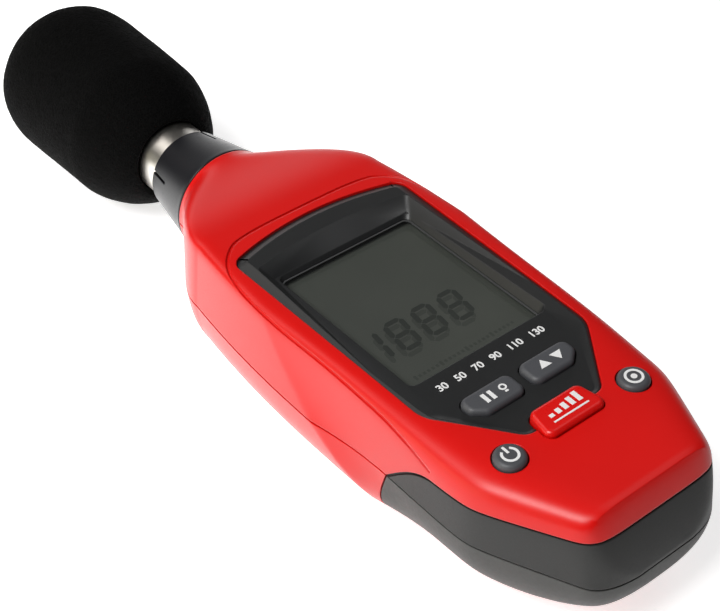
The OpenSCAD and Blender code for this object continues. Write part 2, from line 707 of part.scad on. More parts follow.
mic_board_y = sleeve_y0 + 2;
mic_board_t = 1;
module mic_board() color("#2c6b3a") turned([
    [0, mic_board_y], [sleeve_r - sleeve_wall - fit, mic_board_y],
    [sleeve_r - sleeve_wall - fit, mic_board_y + mic_board_t], [0, mic_board_y + mic_board_t]]);

// Three leads from the microphone board to the plug on the main board
lead_d = 1.1;
lead_sides = 8;
lead_pitch = 1.8;
plug_z = board_top - board_t - plug_t;
lead_bend = 10;
lead_end = 5;
lead_route = [[mic_board_y, back_h], [neck_reach, back_h], [neck_reach - lead_bend, back_h],
    [plug_y + plug_l / 2 + lead_end, plug_z + plug_t / 2], [plug_y + plug_l / 2, plug_z + plug_t / 2]];
module mic_leads() color("#b23a2e") for (k = [-1 : 1]) {
    n = lead_sides;
    m = len(lead_route);
    points = [for (p = lead_route, j = [0 : n - 1])
        [k * lead_pitch + lead_d / 2 * cos(360 * j / n), p[0], p[1] + lead_d / 2 * sin(360 * j / n)]];
    walls = [for (i = [0 : m - 2], j = [0 : n - 1]) let (a = i * n + j, b = i * n + (j + 1) % n)
        each [[a, b + n, b], [a, a + n, b + n]]];
    polyhedron(points, concat(walls, [[for (j = [0 : n - 1]) j]],
        [[for (j = [n - 1 : -1 : 0]) (m - 1) * n + j]]));
}

// The foam: a rounded lower end, a slight barrel and a domed tip over a bore for the microphone
foam_y0 = collar_y1 + foam_gap;
foam_y1 = foam_y0 + foam_len;
foam_low_r = foam_d / 2 < foam_low_d / 2 ? foam_d / 2 : foam_low_d / 2;
foam_r = foam_d / 2;
foam_low_l = 14.5;
foam_low_n = 1.6;
foam_tip_l = 16.7;
foam_tip_n = 2.8;
foam_lip = 1;
foam_bore_r = sleeve_r + slide_gap;
foam_tip_bore_r = tip_r + slide_gap;
foam_bore_y = sleeve_y1 + grid_t + slide_gap;
module windscreen() color("#161616") turned(concat(
    [[foam_bore_r, foam_y0 + foam_lip], [foam_bore_r + foam_lip, foam_y0]],
    [for (i = [1 : 8]) let (u = i / 8, r0 = foam_bore_r + foam_lip)
        [mix(r0, foam_low_r, pow(1 - pow(cos(90 * u), foam_low_n), 1 / foam_low_n)),
            foam_y0 + foam_low_l * (1 - cos(90 * u))]],
    [for (i = [0 : 11]) let (u = sin(90 * i / 12))
        [foam_r * pow(1 - pow(u, foam_tip_n), 1 / foam_tip_n), foam_y1 - foam_tip_l * (1 - u)]],
    [[0, foam_y1], [0, foam_bore_y], [foam_tip_bore_r, foam_bore_y],
        [foam_tip_bore_r, shoulder_y + shoulder_l + slide_gap], [foam_bore_r, shoulder_y + slide_gap]]));

// The battery door: a lid with one screw through the tab at its lower end
door_gap = 0.25;
door_round = 3;
module door_outline(grow = 0) union() {
    offset(door_round + grow, $fn = 24) offset(delta = -door_round) polygon([
        [-door_half, door_y0], [door_half, door_y0], [door_half, door_y1], [-door_half, door_y1]]);
    hull() for (y = [door_tab_y, door_y0 + door_tab_r]) translate([0, y]) circle(door_tab_r + grow, $fn = 40);
}
grip_ribs = 5;
rib_pitch = 2.4;
module battery_door() color("#b8170e") difference() {
    intersection() {
        loft(-1, upto = flare_y);
        linear_extrude(door_t) door_outline();
    }
    translate([0, door_tab_y, -past]) {
        cylinder(door_t + 2 * past, r = door_screw_r + thread_gap, $fn = 24);
        cylinder(door_head_seat + past, r = door_head_r + thread_gap, $fn = 32);
    }
    for (i = [1 : grip_ribs]) box_between([-bay_half * 0.5, door_y1 - 3 - rib_pitch * i, -past],
        [bay_half * 0.5, door_y1 - 2 - rib_pitch * i, 0.6]);
}

module door_screw() color("#9da0a3") translate([0, door_tab_y, 0]) difference() {
    union() {
        translate([0, 0, door_head_seat - door_head_t]) cylinder(door_head_t, r = door_head_r, $fn = 32);
        translate([0, 0, door_head_seat - fit]) cylinder(door_screw_z - door_head_seat, r = door_screw_r, $fn = 24);
    }
    for (a = [0, 90]) rotate([0, 0, a]) box_between([-1.3, -0.25, 0], [1.3, 0.25, door_head_seat - 0.5]);
}

// Three cells side by side, each turned against the next
nub_r = 2.7;
nub_l = 1;
function cell_turn(i) = i == 0 ? -1 : 1;
module along_cells() for (i = [-1 : 1]) translate([i * cell_pitch, (bay_y0 + bay_y1) / 2, cell_z])
    rotate([cell_turn(i) > 0 ? -90 : 90, 0, 0]) children();
cell_base = spring_l / 2 - cell_l / 2;
module battery_cells() color("#8f9498") along_cells() {
    translate([0, 0, cell_base]) cylinder(cell_l - nub_l, r = cell_d / 2, $fn = 48);
    translate([0, 0, cell_base + cell_l - nub_l]) cylinder(nub_l, r = nub_r, $fn = 32);
}

// A cone spring behind each cell
spring_turns = 3;
spring_wire = 0.7;
spring_r0 = 3.8;
spring_r1 = 2.4;
spring_steps = 10;
spring_sides = 5;
module battery_springs() color("#c8c8c4") along_cells() {
    steps = spring_turns * spring_steps;
    rise = spring_l - spring_wire - 2 * fit;
    points = [for (i = [0 : steps], j = [0 : spring_sides - 1]) let (
        u = i / steps,
        a = 360 * i / spring_steps,
        b = 360 * j / spring_sides,
        r = mix(spring_r0, spring_r1, u) + spring_wire / 2 * cos(b))
        [r * cos(a), r * sin(a), cell_base - fit - spring_wire / 2 - rise * (1 - u) + spring_wire / 2 * sin(b)]];
    n = spring_sides;
    walls = [for (i = [0 : steps - 1], j = [0 : n - 1]) let (a = i * n + j, b = i * n + (j + 1) % n)
        each [[a, b, b + n], [a, b + n, a + n]]];
    polyhedron(points, concat(walls, [[for (j = [n - 1 : -1 : 0]) j]], [[for (j = [0 : n - 1]) steps * n + j]]));
}

plate_w = 8.6;
module battery_plates() color("#b9b6a6") for (i = [-1 : 1]) translate([i * cell_pitch, 0, cell_z]) {
    box_between([-plate_w / 2, bay_y0, -plate_w / 2], [plate_w / 2, bay_y0 + plate_t, plate_w / 2]);
    box_between([-plate_w / 2, bay_y1 - plate_t, -plate_w / 2], [plate_w / 2, bay_y1, plate_w / 2]);
}

module screw(head_r, head_t, shank_r, seat, tip) {
    translate([0, 0, seat - head_t]) cylinder(head_t, r = head_r, $fn = 32);
    translate([0, 0, seat - fit]) cylinder(tip - seat, r = shank_r, $fn = 24);
}
module case_screws() color("#77797c") for (p = case_posts) translate([p[0], p[1], 0])
    screw(case_head_r, case_head_t, case_screw_r, case_head_seat, case_screw_z);
module board_screws() color("#77797c") for (p = board_posts) translate([p[0], p[1], 0])
    screw(board_head_r, board_head_t, board_screw_r, board_top - board_t, board_screw_z);

module tripod_insert() color("#b8923a") difference() {
    ring(insert_d / 2, socket_d / 2, 0, socket_depth);
    for (z = [socket_depth * 0.3, socket_depth * 0.65]) ring(insert_d, insert_d / 2 - 0.4, z, z + 0.9);
}

front_shell();
rear_shell();
front_grip();
rear_grip();
display_bezel();
display_window();
lcd_panel();
lcd_backlight();
lcd_connectors();
main_board();
board_components();
radio_module();
key_switches();
hold_button();
max_min_button();
range_button();
power_button();
link_button();
mic_collar();
mic_sleeve();
mic_capsule();
mic_grid();
mic_board();
mic_leads();
windscreen();
battery_door();
door_screw();
battery_cells();
battery_springs();
battery_plates();
case_screws();
board_screws();
tripod_insert();
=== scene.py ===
import math
from itertools import product
import bmesh
import bpy
import numpy as np
from mathutils import Matrix, Vector


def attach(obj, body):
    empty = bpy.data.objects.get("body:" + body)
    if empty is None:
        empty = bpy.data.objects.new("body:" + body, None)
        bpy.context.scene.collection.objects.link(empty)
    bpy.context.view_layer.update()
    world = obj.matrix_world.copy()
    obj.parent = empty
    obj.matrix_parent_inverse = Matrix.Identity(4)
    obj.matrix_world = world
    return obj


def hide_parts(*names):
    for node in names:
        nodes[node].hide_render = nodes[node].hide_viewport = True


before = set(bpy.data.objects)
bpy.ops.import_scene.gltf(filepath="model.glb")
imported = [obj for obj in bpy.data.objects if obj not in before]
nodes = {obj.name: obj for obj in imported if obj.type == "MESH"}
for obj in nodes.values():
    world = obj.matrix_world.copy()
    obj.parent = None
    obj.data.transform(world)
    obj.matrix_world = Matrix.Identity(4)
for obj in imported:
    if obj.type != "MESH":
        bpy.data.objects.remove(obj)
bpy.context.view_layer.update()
scene = bpy.context.scene
mm = 0.001
rightAngle = math.pi / 2
fullTurn = 2 * math.pi
print("frame loaded with", len(nodes), "nodes")


def placed(name, data):
    piece = bpy.data.objects.new(name, data)
    scene.collection.objects.link(piece)
    return piece


# camera

cameraView = {
    "place": (-142.81, -192.99, 221.31),
    "right": (0.78235, -0.62246, -0.02155),
    "up": (0.42080, 0.50275, 0.75509),
    "aim": (0.45919, 0.59982, -0.65526),
    "lens": 75.57, "sensor": 36.0, "near": 5.0,
}


def setCamera(look):
    data = bpy.data.cameras.new("photoView")
    data.lens = look["lens"]
    data.sensor_width = look["sensor"]
    data.sensor_fit = "HORIZONTAL"
    data.clip_start = look["near"] * mm
    camera = placed("photoView", data)
    axes = Matrix((look["right"], look["up"], -Vector(look["aim"]))).transposed()
    camera.matrix_world = Matrix.Translation(Vector(look["place"]) * mm) @ axes.to_4x4()
    scene.camera = camera


setCamera(cameraView)
scene.view_settings.view_transform = "Standard"
print("camera set")

# mesh helpers, all in millimetres

weldGap = 1e-8  # in metres, far below any real gap
slack = 0.05  # room round a piece that sits in another
over = 1.0  # how far a cutter runs past what it cuts


def newObject(name, verts, faces):
    mesh = bpy.data.meshes.new(name)
    mesh.from_pydata([tuple(v) for v in np.asarray(verts, float) * mm], [], faces)
    mesh.validate()
    return placed(name, mesh)


def fromForm(name, form):
    mesh = bpy.data.meshes.new(name)
    form.to_mesh(mesh)
    form.free()
    return placed(name, mesh)


def fixNormals(piece):
    form = bmesh.new()
    form.from_mesh(piece.data)
    bmesh.ops.remove_doubles(form, verts=form.verts, dist=weldGap)
    bmesh.ops.recalc_face_normals(form, faces=form.faces)
    form.to_mesh(piece.data)
    form.free()
    return piece


def stacked(name, rings, closed=False):
    # solid through rings of equal length, with flat ends or closed in a circle
    count, size = len(rings), len(rings[0])
    faces = []
    for i in range(count if closed else count - 1):
        n = (i + 1) % count
        for j in range(size):
            k = (j + 1) % size
            faces.append((i * size + j, i * size + k, n * size + k, n * size + j))
    if not closed:
        faces += [tuple(range(size)), tuple(range((count - 1) * size, count * size))]
    verts = np.concatenate([np.asarray(ring, float) for ring in rings])
    return fixNormals(newObject(name, verts, faces))


def hull(name, points):
    # smallest convex solid round the points
    form = bmesh.new()
    for p in points:
        form.verts.new(Vector(p) * mm)
    bmesh.ops.convex_hull(form, input=form.verts)
    loose = [v for v in form.verts if not v.link_faces]
    bmesh.ops.delete(form, geom=loose, context="VERTS")
    return fromForm(name, form)


def flatRing(outline, z):
    outline = np.asarray(outline, float)
    return np.column_stack([outline, np.full(len(outline), z)])


def prism(name, outline, low, high):
    return stacked(name, [flatRing(outline, low), flatRing(outline, high)])


def sidePrism(name, edge, reach):
    edge = np.asarray(edge, float)
    return stacked(name, [np.column_stack([np.full(len(edge), x), edge]) for x in (-reach, reach)])


def rectangle(x0, y0, x1, y1):
    return [(x0, y0), (x1, y0), (x1, y1), (x0, y1)]


def block(name, low, high):
    return prism(name, rectangle(*low[:2], *high[:2]), low[2], high[2])


def arc(centre, radius, turns):
    return np.column_stack([centre[0] + radius * np.cos(turns), centre[1] + radius * np.sin(turns)])


def disc(centre, radius, steps=64):
    return arc(centre, radius, np.linspace(0, fullTurn, steps, endpoint=False))


def turned(name, profile, height, steps=128):
    # profile of (radius, y) pairs, turned round an axis along y at this height
    turns = np.linspace(0, fullTurn, steps, endpoint=False)
    return stacked(name, [[(r * math.cos(t), y, height + r * math.sin(t)) for r, y in profile]
                          for t in turns], closed=True)


def roundOutline(corners, radius, grow=0.0, steps=8):
    # convex outline, corners rounded by radius, or by one radius each, then moved outwards by grow
    pts = np.asarray(corners, float)
    radii = np.broadcast_to(radius, len(pts))
    nxt = np.roll(pts, -1, axis=0)
    if np.sum(pts[:, 0] * nxt[:, 1] - nxt[:, 0] * pts[:, 1]) < 0:
        pts, radii = pts[::-1], radii[::-1]
        nxt = np.roll(pts, -1, axis=0)
    edge = nxt - pts
    edge /= np.linalg.norm(edge, axis=1)[:, None]
    normal = np.column_stack([edge[:, 1], -edge[:, 0]])
    out = []
    for i in range(len(pts)):
        a, b = normal[i - 1], normal[i]
        centre = pts[i] - (a + b) / (1 + a @ b) * radii[i]
        start = math.atan2(a[1], a[0])
        swing = math.atan2(a[0] * b[1] - a[1] * b[0], a @ b)
        count = max(1, int(math.ceil(steps * abs(swing) / rightAngle)))
        out.append(arc(centre, radii[i] + grow, start + swing * np.arange(count + 1) / count))
    return np.concatenate(out)


def evaluated(piece):
    # plain mesh of the piece as its modifiers leave it
    graph = bpy.context.evaluated_depsgraph_get()
    graph.update()
    return bpy.data.meshes.new_from_object(piece.evaluated_get(graph))


def dropPiece(piece):
    mesh = piece.data
    bpy.data.objects.remove(piece)
    bpy.data.meshes.remove(mesh)


def carve(piece, cutter, how="DIFFERENCE"):
    step = piece.modifiers.new("carve", "BOOLEAN")
    step.operation = how
    step.solver = "MANIFOLD"
    step.object = cutter
    made = evaluated(piece)
    piece.modifiers.remove(step)
    old = piece.data
    piece.data = made
    bpy.data.meshes.remove(old)
    dropPiece(cutter)
    return piece


def joined(name, parts):
    form = bmesh.new()
    for part in parts:
        form.from_mesh(part.data)
        dropPiece(part)
    return fromForm(name, form)


def softShade(piece, degrees):
    piece.data.polygons.foreach_set("use_smooth", [True] * len(piece.data.polygons))
    piece.data.set_sharp_from_angle(angle=math.radians(degrees))
    return piece


def settle(piece, body, material, slotName, *stoodFor):
    piece.data.materials.clear()
    piece.data.materials.append(material)
    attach(piece, body)
    if stoodFor:
        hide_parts(*stoodFor)
    return piece


# shader helpers


def setSockets(node, values):
    for socket, value in values.items():
        node.inputs[socket].default_value = value


def addNode(tree, kind, values=None, **settings):
    # the settings come first, because they decide which sockets there are
    node = tree.nodes.new(kind)
    for label, value in settings.items():
        setattr(node, label, value)
    setSockets(node, values or {})
    return node


def wire(tree, *links):
    # each link is a node, its output, the next node and its input
    for start, output, end, socket in links:
        tree.links.new(start.outputs[output], end.inputs[socket])


def newGroup(name, inputs, outputs):
    group = bpy.data.node_groups.new(name, "ShaderNodeTree")
    group.interface.new_socket("Vector", in_out="INPUT", socket_type="NodeSocketVector")
    for label, value in inputs.items():
        socket = group.interface.new_socket(label, in_out="INPUT", socket_type="NodeSocketFloat")
        socket.default_value = value
    for label in outputs:
        group.interface.new_socket(label, in_out="OUTPUT", socket_type="NodeSocketFloat")
    return group, addNode(group, "NodeGroupInput"), addNode(group, "NodeGroupOutput")


def makeGrainGroup():
    # fine moulded grain with slow drifts of tone
    group, given, result = newGroup("mouldedGrain", {"Grain": 2500.0, "Drift": 60.0}, ("Tone", "Relief"))
    fine = addNode(group, "ShaderNodeTexNoise", {"Detail": 3.0, "Roughness": 0.6})
    slow = addNode(group, "ShaderNodeTexNoise", {"Detail": 2.0})
    blend = addNode(group, "ShaderNodeMix", {"Factor": 0.35})
    wire(group, (given, "Vector", fine, "Vector"), (given, "Vector", slow, "Vector"),
         (given, "Grain", fine, "Scale"), (given, "Drift", slow, "Scale"),
         (slow, "Fac", blend, "A"), (fine, "Fac", blend, "B"),
         (blend, "Result", result, "Tone"), (fine, "Fac", result, "Relief"))
    return group


def makeScuffGroup():
    # long thin handling marks, 0 to 1
    group, given, result = newGroup("handlingScuffs", {"Size": 90.0, "Amount": 0.4}, ("Mask",))
    stretch = addNode(group, "ShaderNodeMapping", {"Rotation": (0.2, 0.1, 0.7), "Scale": (1.0, 7.0, 3.0)})
    marks = addNode(group, "ShaderNodeTexNoise", {"Detail": 6.0, "Roughness": 0.7})
    ramp = addNode(group, "ShaderNodeMapRange", {"From Min": 0.56, "From Max": 0.8})
    scale = addNode(group, "ShaderNodeMath", operation="MULTIPLY")
    wire(group, (given, "Vector", stretch, "Vector"), (stretch, "Vector", marks, "Vector"),
         (given, "Size", marks, "Scale"), (marks, "Fac", ramp, "Value"), (ramp, "Result", scale, 0),
         (given, "Amount", scale, 1), (scale, "Value", result, "Mask"))
    return group


grainGroup = makeGrainGroup()
scuffGroup = makeScuffGroup()


def blankMaterial(name, values):
    material = bpy.data.materials.new(name)
    material.use_nodes = True
    tree = material.node_tree
    shader = tree.nodes["Principled BSDF"]
    setSockets(shader, values)
    return material, tree, shader, addNode(tree, "ShaderNodeTexCoord")


def colourMix(tree, dark, light):
    return addNode(tree, "ShaderNodeMix", {"A": (*dark, 1), "B": (*light, 1)}, data_type="RGBA")


def rangeTo(tree, low, high):
    return addNode(tree, "ShaderNodeMapRange", {"To Min": low, "To Max": high})


# moulded and plated finishes; edge is the radius of a softened edge in millimetres

plainLook = {"grain": 2500.0, "relief": 0.15, "depth": 0.03, "scuff": 0.3, "metal": 0.0, "gloss": 0.5,
             "edge": 0.0, "edgeSamples": 6}


def makeFinish(name, changes):
    # two tones, grain, scuffs and softened edges
    look = {**plainLook, **changes}
    material, tree, shader, place = blankMaterial(name, {
        "Metallic": look["metal"], "Specular IOR Level": look["gloss"]})
    grain = addNode(tree, "ShaderNodeGroup", {"Grain": look["grain"]}, node_tree=grainGroup)
    scuff = addNode(tree, "ShaderNodeGroup", {"Amount": look["scuff"]}, node_tree=scuffGroup)
    tone = colourMix(tree, look["dark"], look["light"])
    both = addNode(tree, "ShaderNodeMath", operation="ADD")
    rough = rangeTo(tree, *look["rough"])
    bump = addNode(tree, "ShaderNodeBump", {"Strength": look["relief"], "Distance": look["depth"] * mm})
    wire(tree, (place, "Object", grain, "Vector"), (place, "Object", scuff, "Vector"),
         (grain, "Tone", tone, "Factor"), (tone, "Result", shader, "Base Color"),
         (grain, "Relief", both, 0), (scuff, "Mask", both, 1), (both, "Value", rough, "Value"),
         (rough, "Result", shader, "Roughness"), (grain, "Relief", bump, "Height"),
         (bump, "Normal", shader, "Normal"))
    if look["edge"]:
        edge = addNode(tree, "ShaderNodeBevel", {"Radius": look["edge"] * mm}, samples=look["edgeSamples"])
        wire(tree, (edge, "Normal", bump, "Normal"))
    return material


finishes = {
    "shellRed": {"dark": (0.64, 0.002, 0.001), "light": (0.74, 0.004, 0.002), "rough": (0.26, 0.44),
                 "grain": 3200, "relief": 0.10, "edge": 0.35, "scuff": 0.15, "gloss": 0.42},
    # the two grips share one grey: the upper grip's copy is painted darker as shade, the lower grip's paler
    # as light from the floor
    "gripShadedGrey": {"dark": (0.010, 0.010, 0.0096), "light": (0.019, 0.019, 0.018), "rough": (0.44, 0.64),
                 "grain": 2600, "relief": 0.30, "edge": 0.3, "gloss": 0.36},
    "gripLitGrey": {"dark": (0.026, 0.026, 0.025), "light": (0.052, 0.051, 0.049), "rough": (0.48, 0.70),
                 "grain": 1400, "relief": 0.45, "edge": 0.3},
    "bezelBlack": {"dark": (0.010, 0.0105, 0.011), "light": (0.018, 0.0185, 0.019), "rough": (0.32, 0.48),
                   "grain": 3000, "relief": 0.12, "edge": 0.3},
    "keyGrey": {"dark": (0.055, 0.057, 0.064), "light": (0.078, 0.080, 0.088), "rough": (0.38, 0.58),
                "grain": 3000, "relief": 0.2},
    "keyRed": {"dark": (0.66, 0.003, 0.002), "light": (0.76, 0.005, 0.003), "rough": (0.22, 0.38),
               "grain": 3200, "relief": 0.10},
    "collarBlack": {"dark": (0.006, 0.006, 0.008), "light": (0.011, 0.011, 0.014), "rough": (0.26, 0.46),
                    "grain": 2400, "relief": 0.2, "edge": 0.25, "gloss": 0.4},
    "nickel": {"dark": (0.62, 0.59, 0.54), "light": (0.80, 0.77, 0.72), "rough": (0.24, 0.38),
               "grain": 900, "relief": 0.05, "metal": 1.0, "edge": 0.2},
    # pale grey of the ring painted round the display opening as a highlight
    "rimHighlightGrey": {"dark": (0.045, 0.046, 0.047), "light": (0.075, 0.076, 0.078), "rough": (0.3, 0.45)},
    "printWhite": {"dark": (0.78, 0.78, 0.78), "light": (0.90, 0.90, 0.90), "rough": (0.4, 0.6),
                   "relief": 0.05},
    "steelZinc": {"dark": (0.32, 0.33, 0.34), "light": (0.48, 0.49, 0.50), "rough": (0.25, 0.45),
                  "grain": 1500, "metal": 1.0, "edge": 0.15},
    "brassTurned": {"dark": (0.58, 0.38, 0.12), "light": (0.74, 0.52, 0.20), "rough": (0.2, 0.36),
                    "grain": 1800, "metal": 1.0, "edge": 0.15},
    "springPlate": {"dark": (0.56, 0.55, 0.50), "light": (0.74, 0.72, 0.66), "rough": (0.2, 0.34),
                    "grain": 1500, "metal": 1.0},
    "diffuserMilk": {"dark": (0.80, 0.80, 0.76), "light": (0.88, 0.88, 0.84), "rough": (0.35, 0.5)},
    "siliconePink": {"dark": (0.52, 0.22, 0.26), "light": (0.66, 0.32, 0.36), "rough": (0.45, 0.6)},
    "chipBlack": {"dark": (0.016, 0.016, 0.018), "light": (0.03, 0.03, 0.033), "rough": (0.45, 0.65),
                  "grain": 4000, "relief": 0.4},
    "shieldTin": {"dark": (0.55, 0.56, 0.57), "light": (0.70, 0.71, 0.72), "rough": (0.22, 0.4),
                  "grain": 1200, "metal": 1.0, "edge": 0.15},
    "switchGrey": {"dark": (0.20, 0.20, 0.21), "light": (0.30, 0.30, 0.31), "rough": (0.35, 0.5)},
    "capsuleSatin": {"dark": (0.46, 0.47, 0.49), "light": (0.58, 0.59, 0.61), "rough": (0.25, 0.4),
                     "metal": 1.0},
    "leadRed": {"dark": (0.36, 0.035, 0.025), "light": (0.48, 0.055, 0.04), "rough": (0.35, 0.5)},
}
paint = {name: makeFinish(name, changes) for name, changes in finishes.items()}


def makeFoamMaterial():
    # open cells: dark pores between slightly paler struts, the pores' darkness painted shade in their hollows
    material, tree, shader, place = blankMaterial("foamBlack", {
        "Roughness": 0.95, "Specular IOR Level": 0.08})
    cells = addNode(tree, "ShaderNodeTexVoronoi", {"Scale": 1500.0}, feature="DISTANCE_TO_EDGE")
    fuzz = addNode(tree, "ShaderNodeTexNoise", {"Scale": 900.0, "Detail": 5.0})
    strut = addNode(tree, "ShaderNodeMapRange", {"From Max": 0.22, "To Min": 1.0, "To Max": 0.0})
    # struts keep the foam's own black, the pores get a darker painted shade
    tone = colourMix(tree, (0.0008, 0.0008, 0.0008), (0.0042, 0.0042, 0.0043))
    height = addNode(tree, "ShaderNodeMath", operation="MULTIPLY")
    bump = addNode(tree, "ShaderNodeBump", {"Strength": 0.8, "Distance": 0.25 * mm})
    wire(tree, (place, "Object", cells, "Vector"), (place, "Object", fuzz, "Vector"),
         (cells, "Distance", strut, "Value"), (strut, "Result", height, 0), (fuzz, "Fac", height, 1),
         (height, "Value", tone, "Factor"), (height, "Value", bump, "Height"),
         (tone, "Result", shader, "Base Color"), (bump, "Normal", shader, "Normal"))
    return material


def makeBoardMaterial():
    # solder mask with paler tracks
    material, tree, shader, place = blankMaterial("boardGreen", {"Roughness": 0.35})
    tracks = addNode(tree, "ShaderNodeTexBrick", {
        "Scale": 120.0, "Mortar Size": 0.012, "Color1": (0.006, 0.055, 0.020, 1),
        "Color2": (0.009, 0.075, 0.027, 1), "Mortar": (0.03, 0.16, 0.06, 1)})
    wire(tree, (place, "Object", tracks, "Vector"), (tracks, "Color", shader, "Base Color"))
    return material


cellLook = {"band": (0.02, 0.021, 0.024), "sleeve": (0.30, 0.31, 0.33), "bandY": (-45.2, -45.0),
            "rough": (0.22, 0.5), "metal": 0.6}


def makeCellMaterial():
    # plain sleeve with a dark band at one end of each cell
    material, tree, shader, place = blankMaterial("cellSleeve", {"Metallic": cellLook["metal"]})
    split = addNode(tree, "ShaderNodeSeparateXYZ")
    low, high = cellLook["bandY"]
    band = addNode(tree, "ShaderNodeMapRange", {"From Min": low * mm, "From Max": high * mm})
    wear = addNode(tree, "ShaderNodeGroup", node_tree=scuffGroup)
    tone = colourMix(tree, cellLook["band"], cellLook["sleeve"])
    rough = rangeTo(tree, *cellLook["rough"])
    wire(tree, (place, "Object", split, "Vector"), (place, "Object", wear, "Vector"),
         (split, "Y", band, "Value"), (band, "Result", tone, "Factor"),
         (tone, "Result", shader, "Base Color"), (wear, "Mask", rough, "Value"),
         (rough, "Result", shader, "Roughness"))
    return material


lcdLook = {"lcdGlass": (0.066, 0.072, 0.062), "lcdInk": (0.029, 0.033, 0.029),
           "lcdShade": (0.048, 0.053, 0.046)}
lcdDrift = {"scale": 38.0, "dark": 0.82, "light": 1.18}


def makeLcdMaterial(name, tint):
    # grey-green polariser with a slow drift of tone
    material, tree, shader, place = blankMaterial(name, {"Roughness": 0.55, "Specular IOR Level": 0.2})
    drift = addNode(tree, "ShaderNodeTexNoise", {"Scale": lcdDrift["scale"]})
    tone = colourMix(tree, *[[c * lcdDrift[end] for c in tint] for end in ("dark", "light")])
    wire(tree, (place, "Object", drift, "Vector"), (drift, "Fac", tone, "Factor"),
         (tone, "Result", shader, "Base Color"))
    return material


def makeWindowMaterial():
    # light goes straight through, and a thin mirror film gives the gloss
    material, tree, shader, place = blankMaterial("windowClear", {
        "Base Color": (0.93, 0.95, 0.94, 1), "Metallic": 1.0, "Alpha": 0.08})
    smear = addNode(tree, "ShaderNodeGroup", node_tree=scuffGroup)
    rough = rangeTo(tree, 0.02, 0.12)
    wire(tree, (place, "Object", smear, "Vector"), (smear, "Mask", rough, "Value"),
         (rough, "Result", shader, "Roughness"))
    return material


paint["foamBlack"] = makeFoamMaterial()
paint["boardGreen"] = makeBoardMaterial()
paint["cellSleeve"] = makeCellMaterial()
for lcdName, lcdTint in lcdLook.items():
    paint[lcdName] = makeLcdMaterial(lcdName, lcdTint)
paint["windowClear"] = makeWindowMaterial()
print("materials made:", len(paint))

# form of the case: the rule of the solid model, with crisper edges to the face

case = {
    "caseW": 55.2, "shoulderW": 50.8, "waistW": 50.4, "footW": 28.0, "neckD": 25.2,  # widths
    "faceH": 15.4, "backH": 16.5, "backCrown": 0.6, "leastH": 0.2,  # heights from the parting plane
    "neckReach": 42.0, "flareLen": 26.0, "bulgeY": -18.5, "kinkY": -26.0, "taperY": -67.4, "endY": -91.3,
    "flareN": 1.75, "kinkSlope": 1.3, "waistLen": 20.0, "waistStretch": 3.5, "taperBend": 3.0,
    "sideLean": 1.8, "footLean": 0.5, "rearLean": 1.4,  # how far the sides lean in
    "footRoundW": 5.0, "footRoundFace": 5.0, "footRoundN": 3.0, "footRoundH": 5.6, "footLeanN": 1.2,
    "footRoundBack": 20.0, "footBackRoundN": 1.85, "footBlunt": 0.966,
    "neckN": 2.0, "headN": 20.0, "footN": 6.5, "headBackN": 3.5, "footBackN": 2.7,  # squareness, 2 is round
    "viewDrop": 3.2, "viewL": 39.2, "viewW": 32.8,  # display opening
    "wall": 2.4, "roof": 2.8, "skirt": 1.0,
    "ringSteps": 24, "cornerPull": 1.5, "stationGap": 0.8, "footStations": 30, "flareStations": 48,
    "crease": 28,
}
flareY = case["neckReach"] - case["flareLen"]
neckR = case["neckD"] / 2
axisZ = case["backH"]
faceZ = case["backH"] + case["faceH"]
endY = case["endY"]
aboveFace = faceZ + 5 * over
belowBack = -over


def ease(a, b, v):
    u = np.clip((v - a) / (b - a), 0, 1)
    return u * u * (3 - 2 * u)


def mixed(a, b, u):
    return a + (b - a) * u


def footCap(y, length, power):
    u = case["footBlunt"] * np.maximum(0, (endY + length - y) / length)
    return (1 - u ** power) ** (1 / power)


def halfWidth(y, dz):
    # half the width of the case at y, dz above the parting plane
    y, dz = np.broadcast_arrays(np.asarray(y, float), np.asarray(dz, float))
    up, down = np.maximum(0, dz), np.maximum(0, -dz)
    full, shoulder, waistHalf = case["caseW"] / 2, case["shoulderW"] / 2, case["waistW"] / 2
    bulge = ((y - case["bulgeY"]) / (flareY - case["bulgeY"])) ** 2
    head = np.where(y < case["bulgeY"], full, mixed(full, shoulder, bulge))
    u = (case["kinkY"] + case["kinkSlope"] * dz - y) / (case["waistLen"] + case["waistStretch"] * up)
    waist = mixed(full, waistHalf, 1 - (1 - np.clip(u, 0, 1)) ** 2)
    below = case["taperY"] - y
    bent = (below + np.sqrt(below ** 2 + case["taperBend"] ** 2)) / 2
    foot = (waistHalf - case["footW"] / 2) * bent / (case["taperY"] - endY)
    rounding = case["footRoundW"] + case["footRoundFace"] * up / case["faceH"]
    low = (np.minimum(head, waist) - foot) * footCap(y, rounding, case["footRoundN"])
    swell = np.sin(np.clip((case["neckReach"] - y) / case["flareLen"], 0, 1) * rightAngle) ** case["flareN"]
    flare = mixed(neckR, shoulder, swell)
    lean = mixed(case["footLean"], case["sideLean"], ease(case["taperY"], case["bulgeY"], y))
    leanIn = lean * up / case["faceH"] + case["rearLean"] * down / case["backH"]
    return np.where(y > flareY, flare, low) - (1 - ease(flareY, case["neckReach"], y)) * leanIn


def caseHeight(y, tall, length, power):
    return mixed(tall, neckR, ease(flareY, case["neckReach"], y)) * footCap(y, length, power)


def squareness(y, head, foot):
    return np.minimum(mixed(head, case["neckN"], ease(flareY, case["neckReach"], y)),
                      mixed(foot, head, ease(case["taperY"], case["bulgeY"], y)))


def caseSection(y, side):
    # height and squareness of the front, where side is 1, or of the back, where it is -1
    if side > 0:
        tall = caseHeight(y, case["faceH"], case["footRoundH"], case["footLeanN"])
        return tall, squareness(y, case["headN"], case["footN"])
    tall = caseHeight(y, case["backH"] + case["backCrown"], case["footRoundBack"], case["footBackRoundN"])
    return tall, squareness(y, case["headBackN"], case["footBackN"])


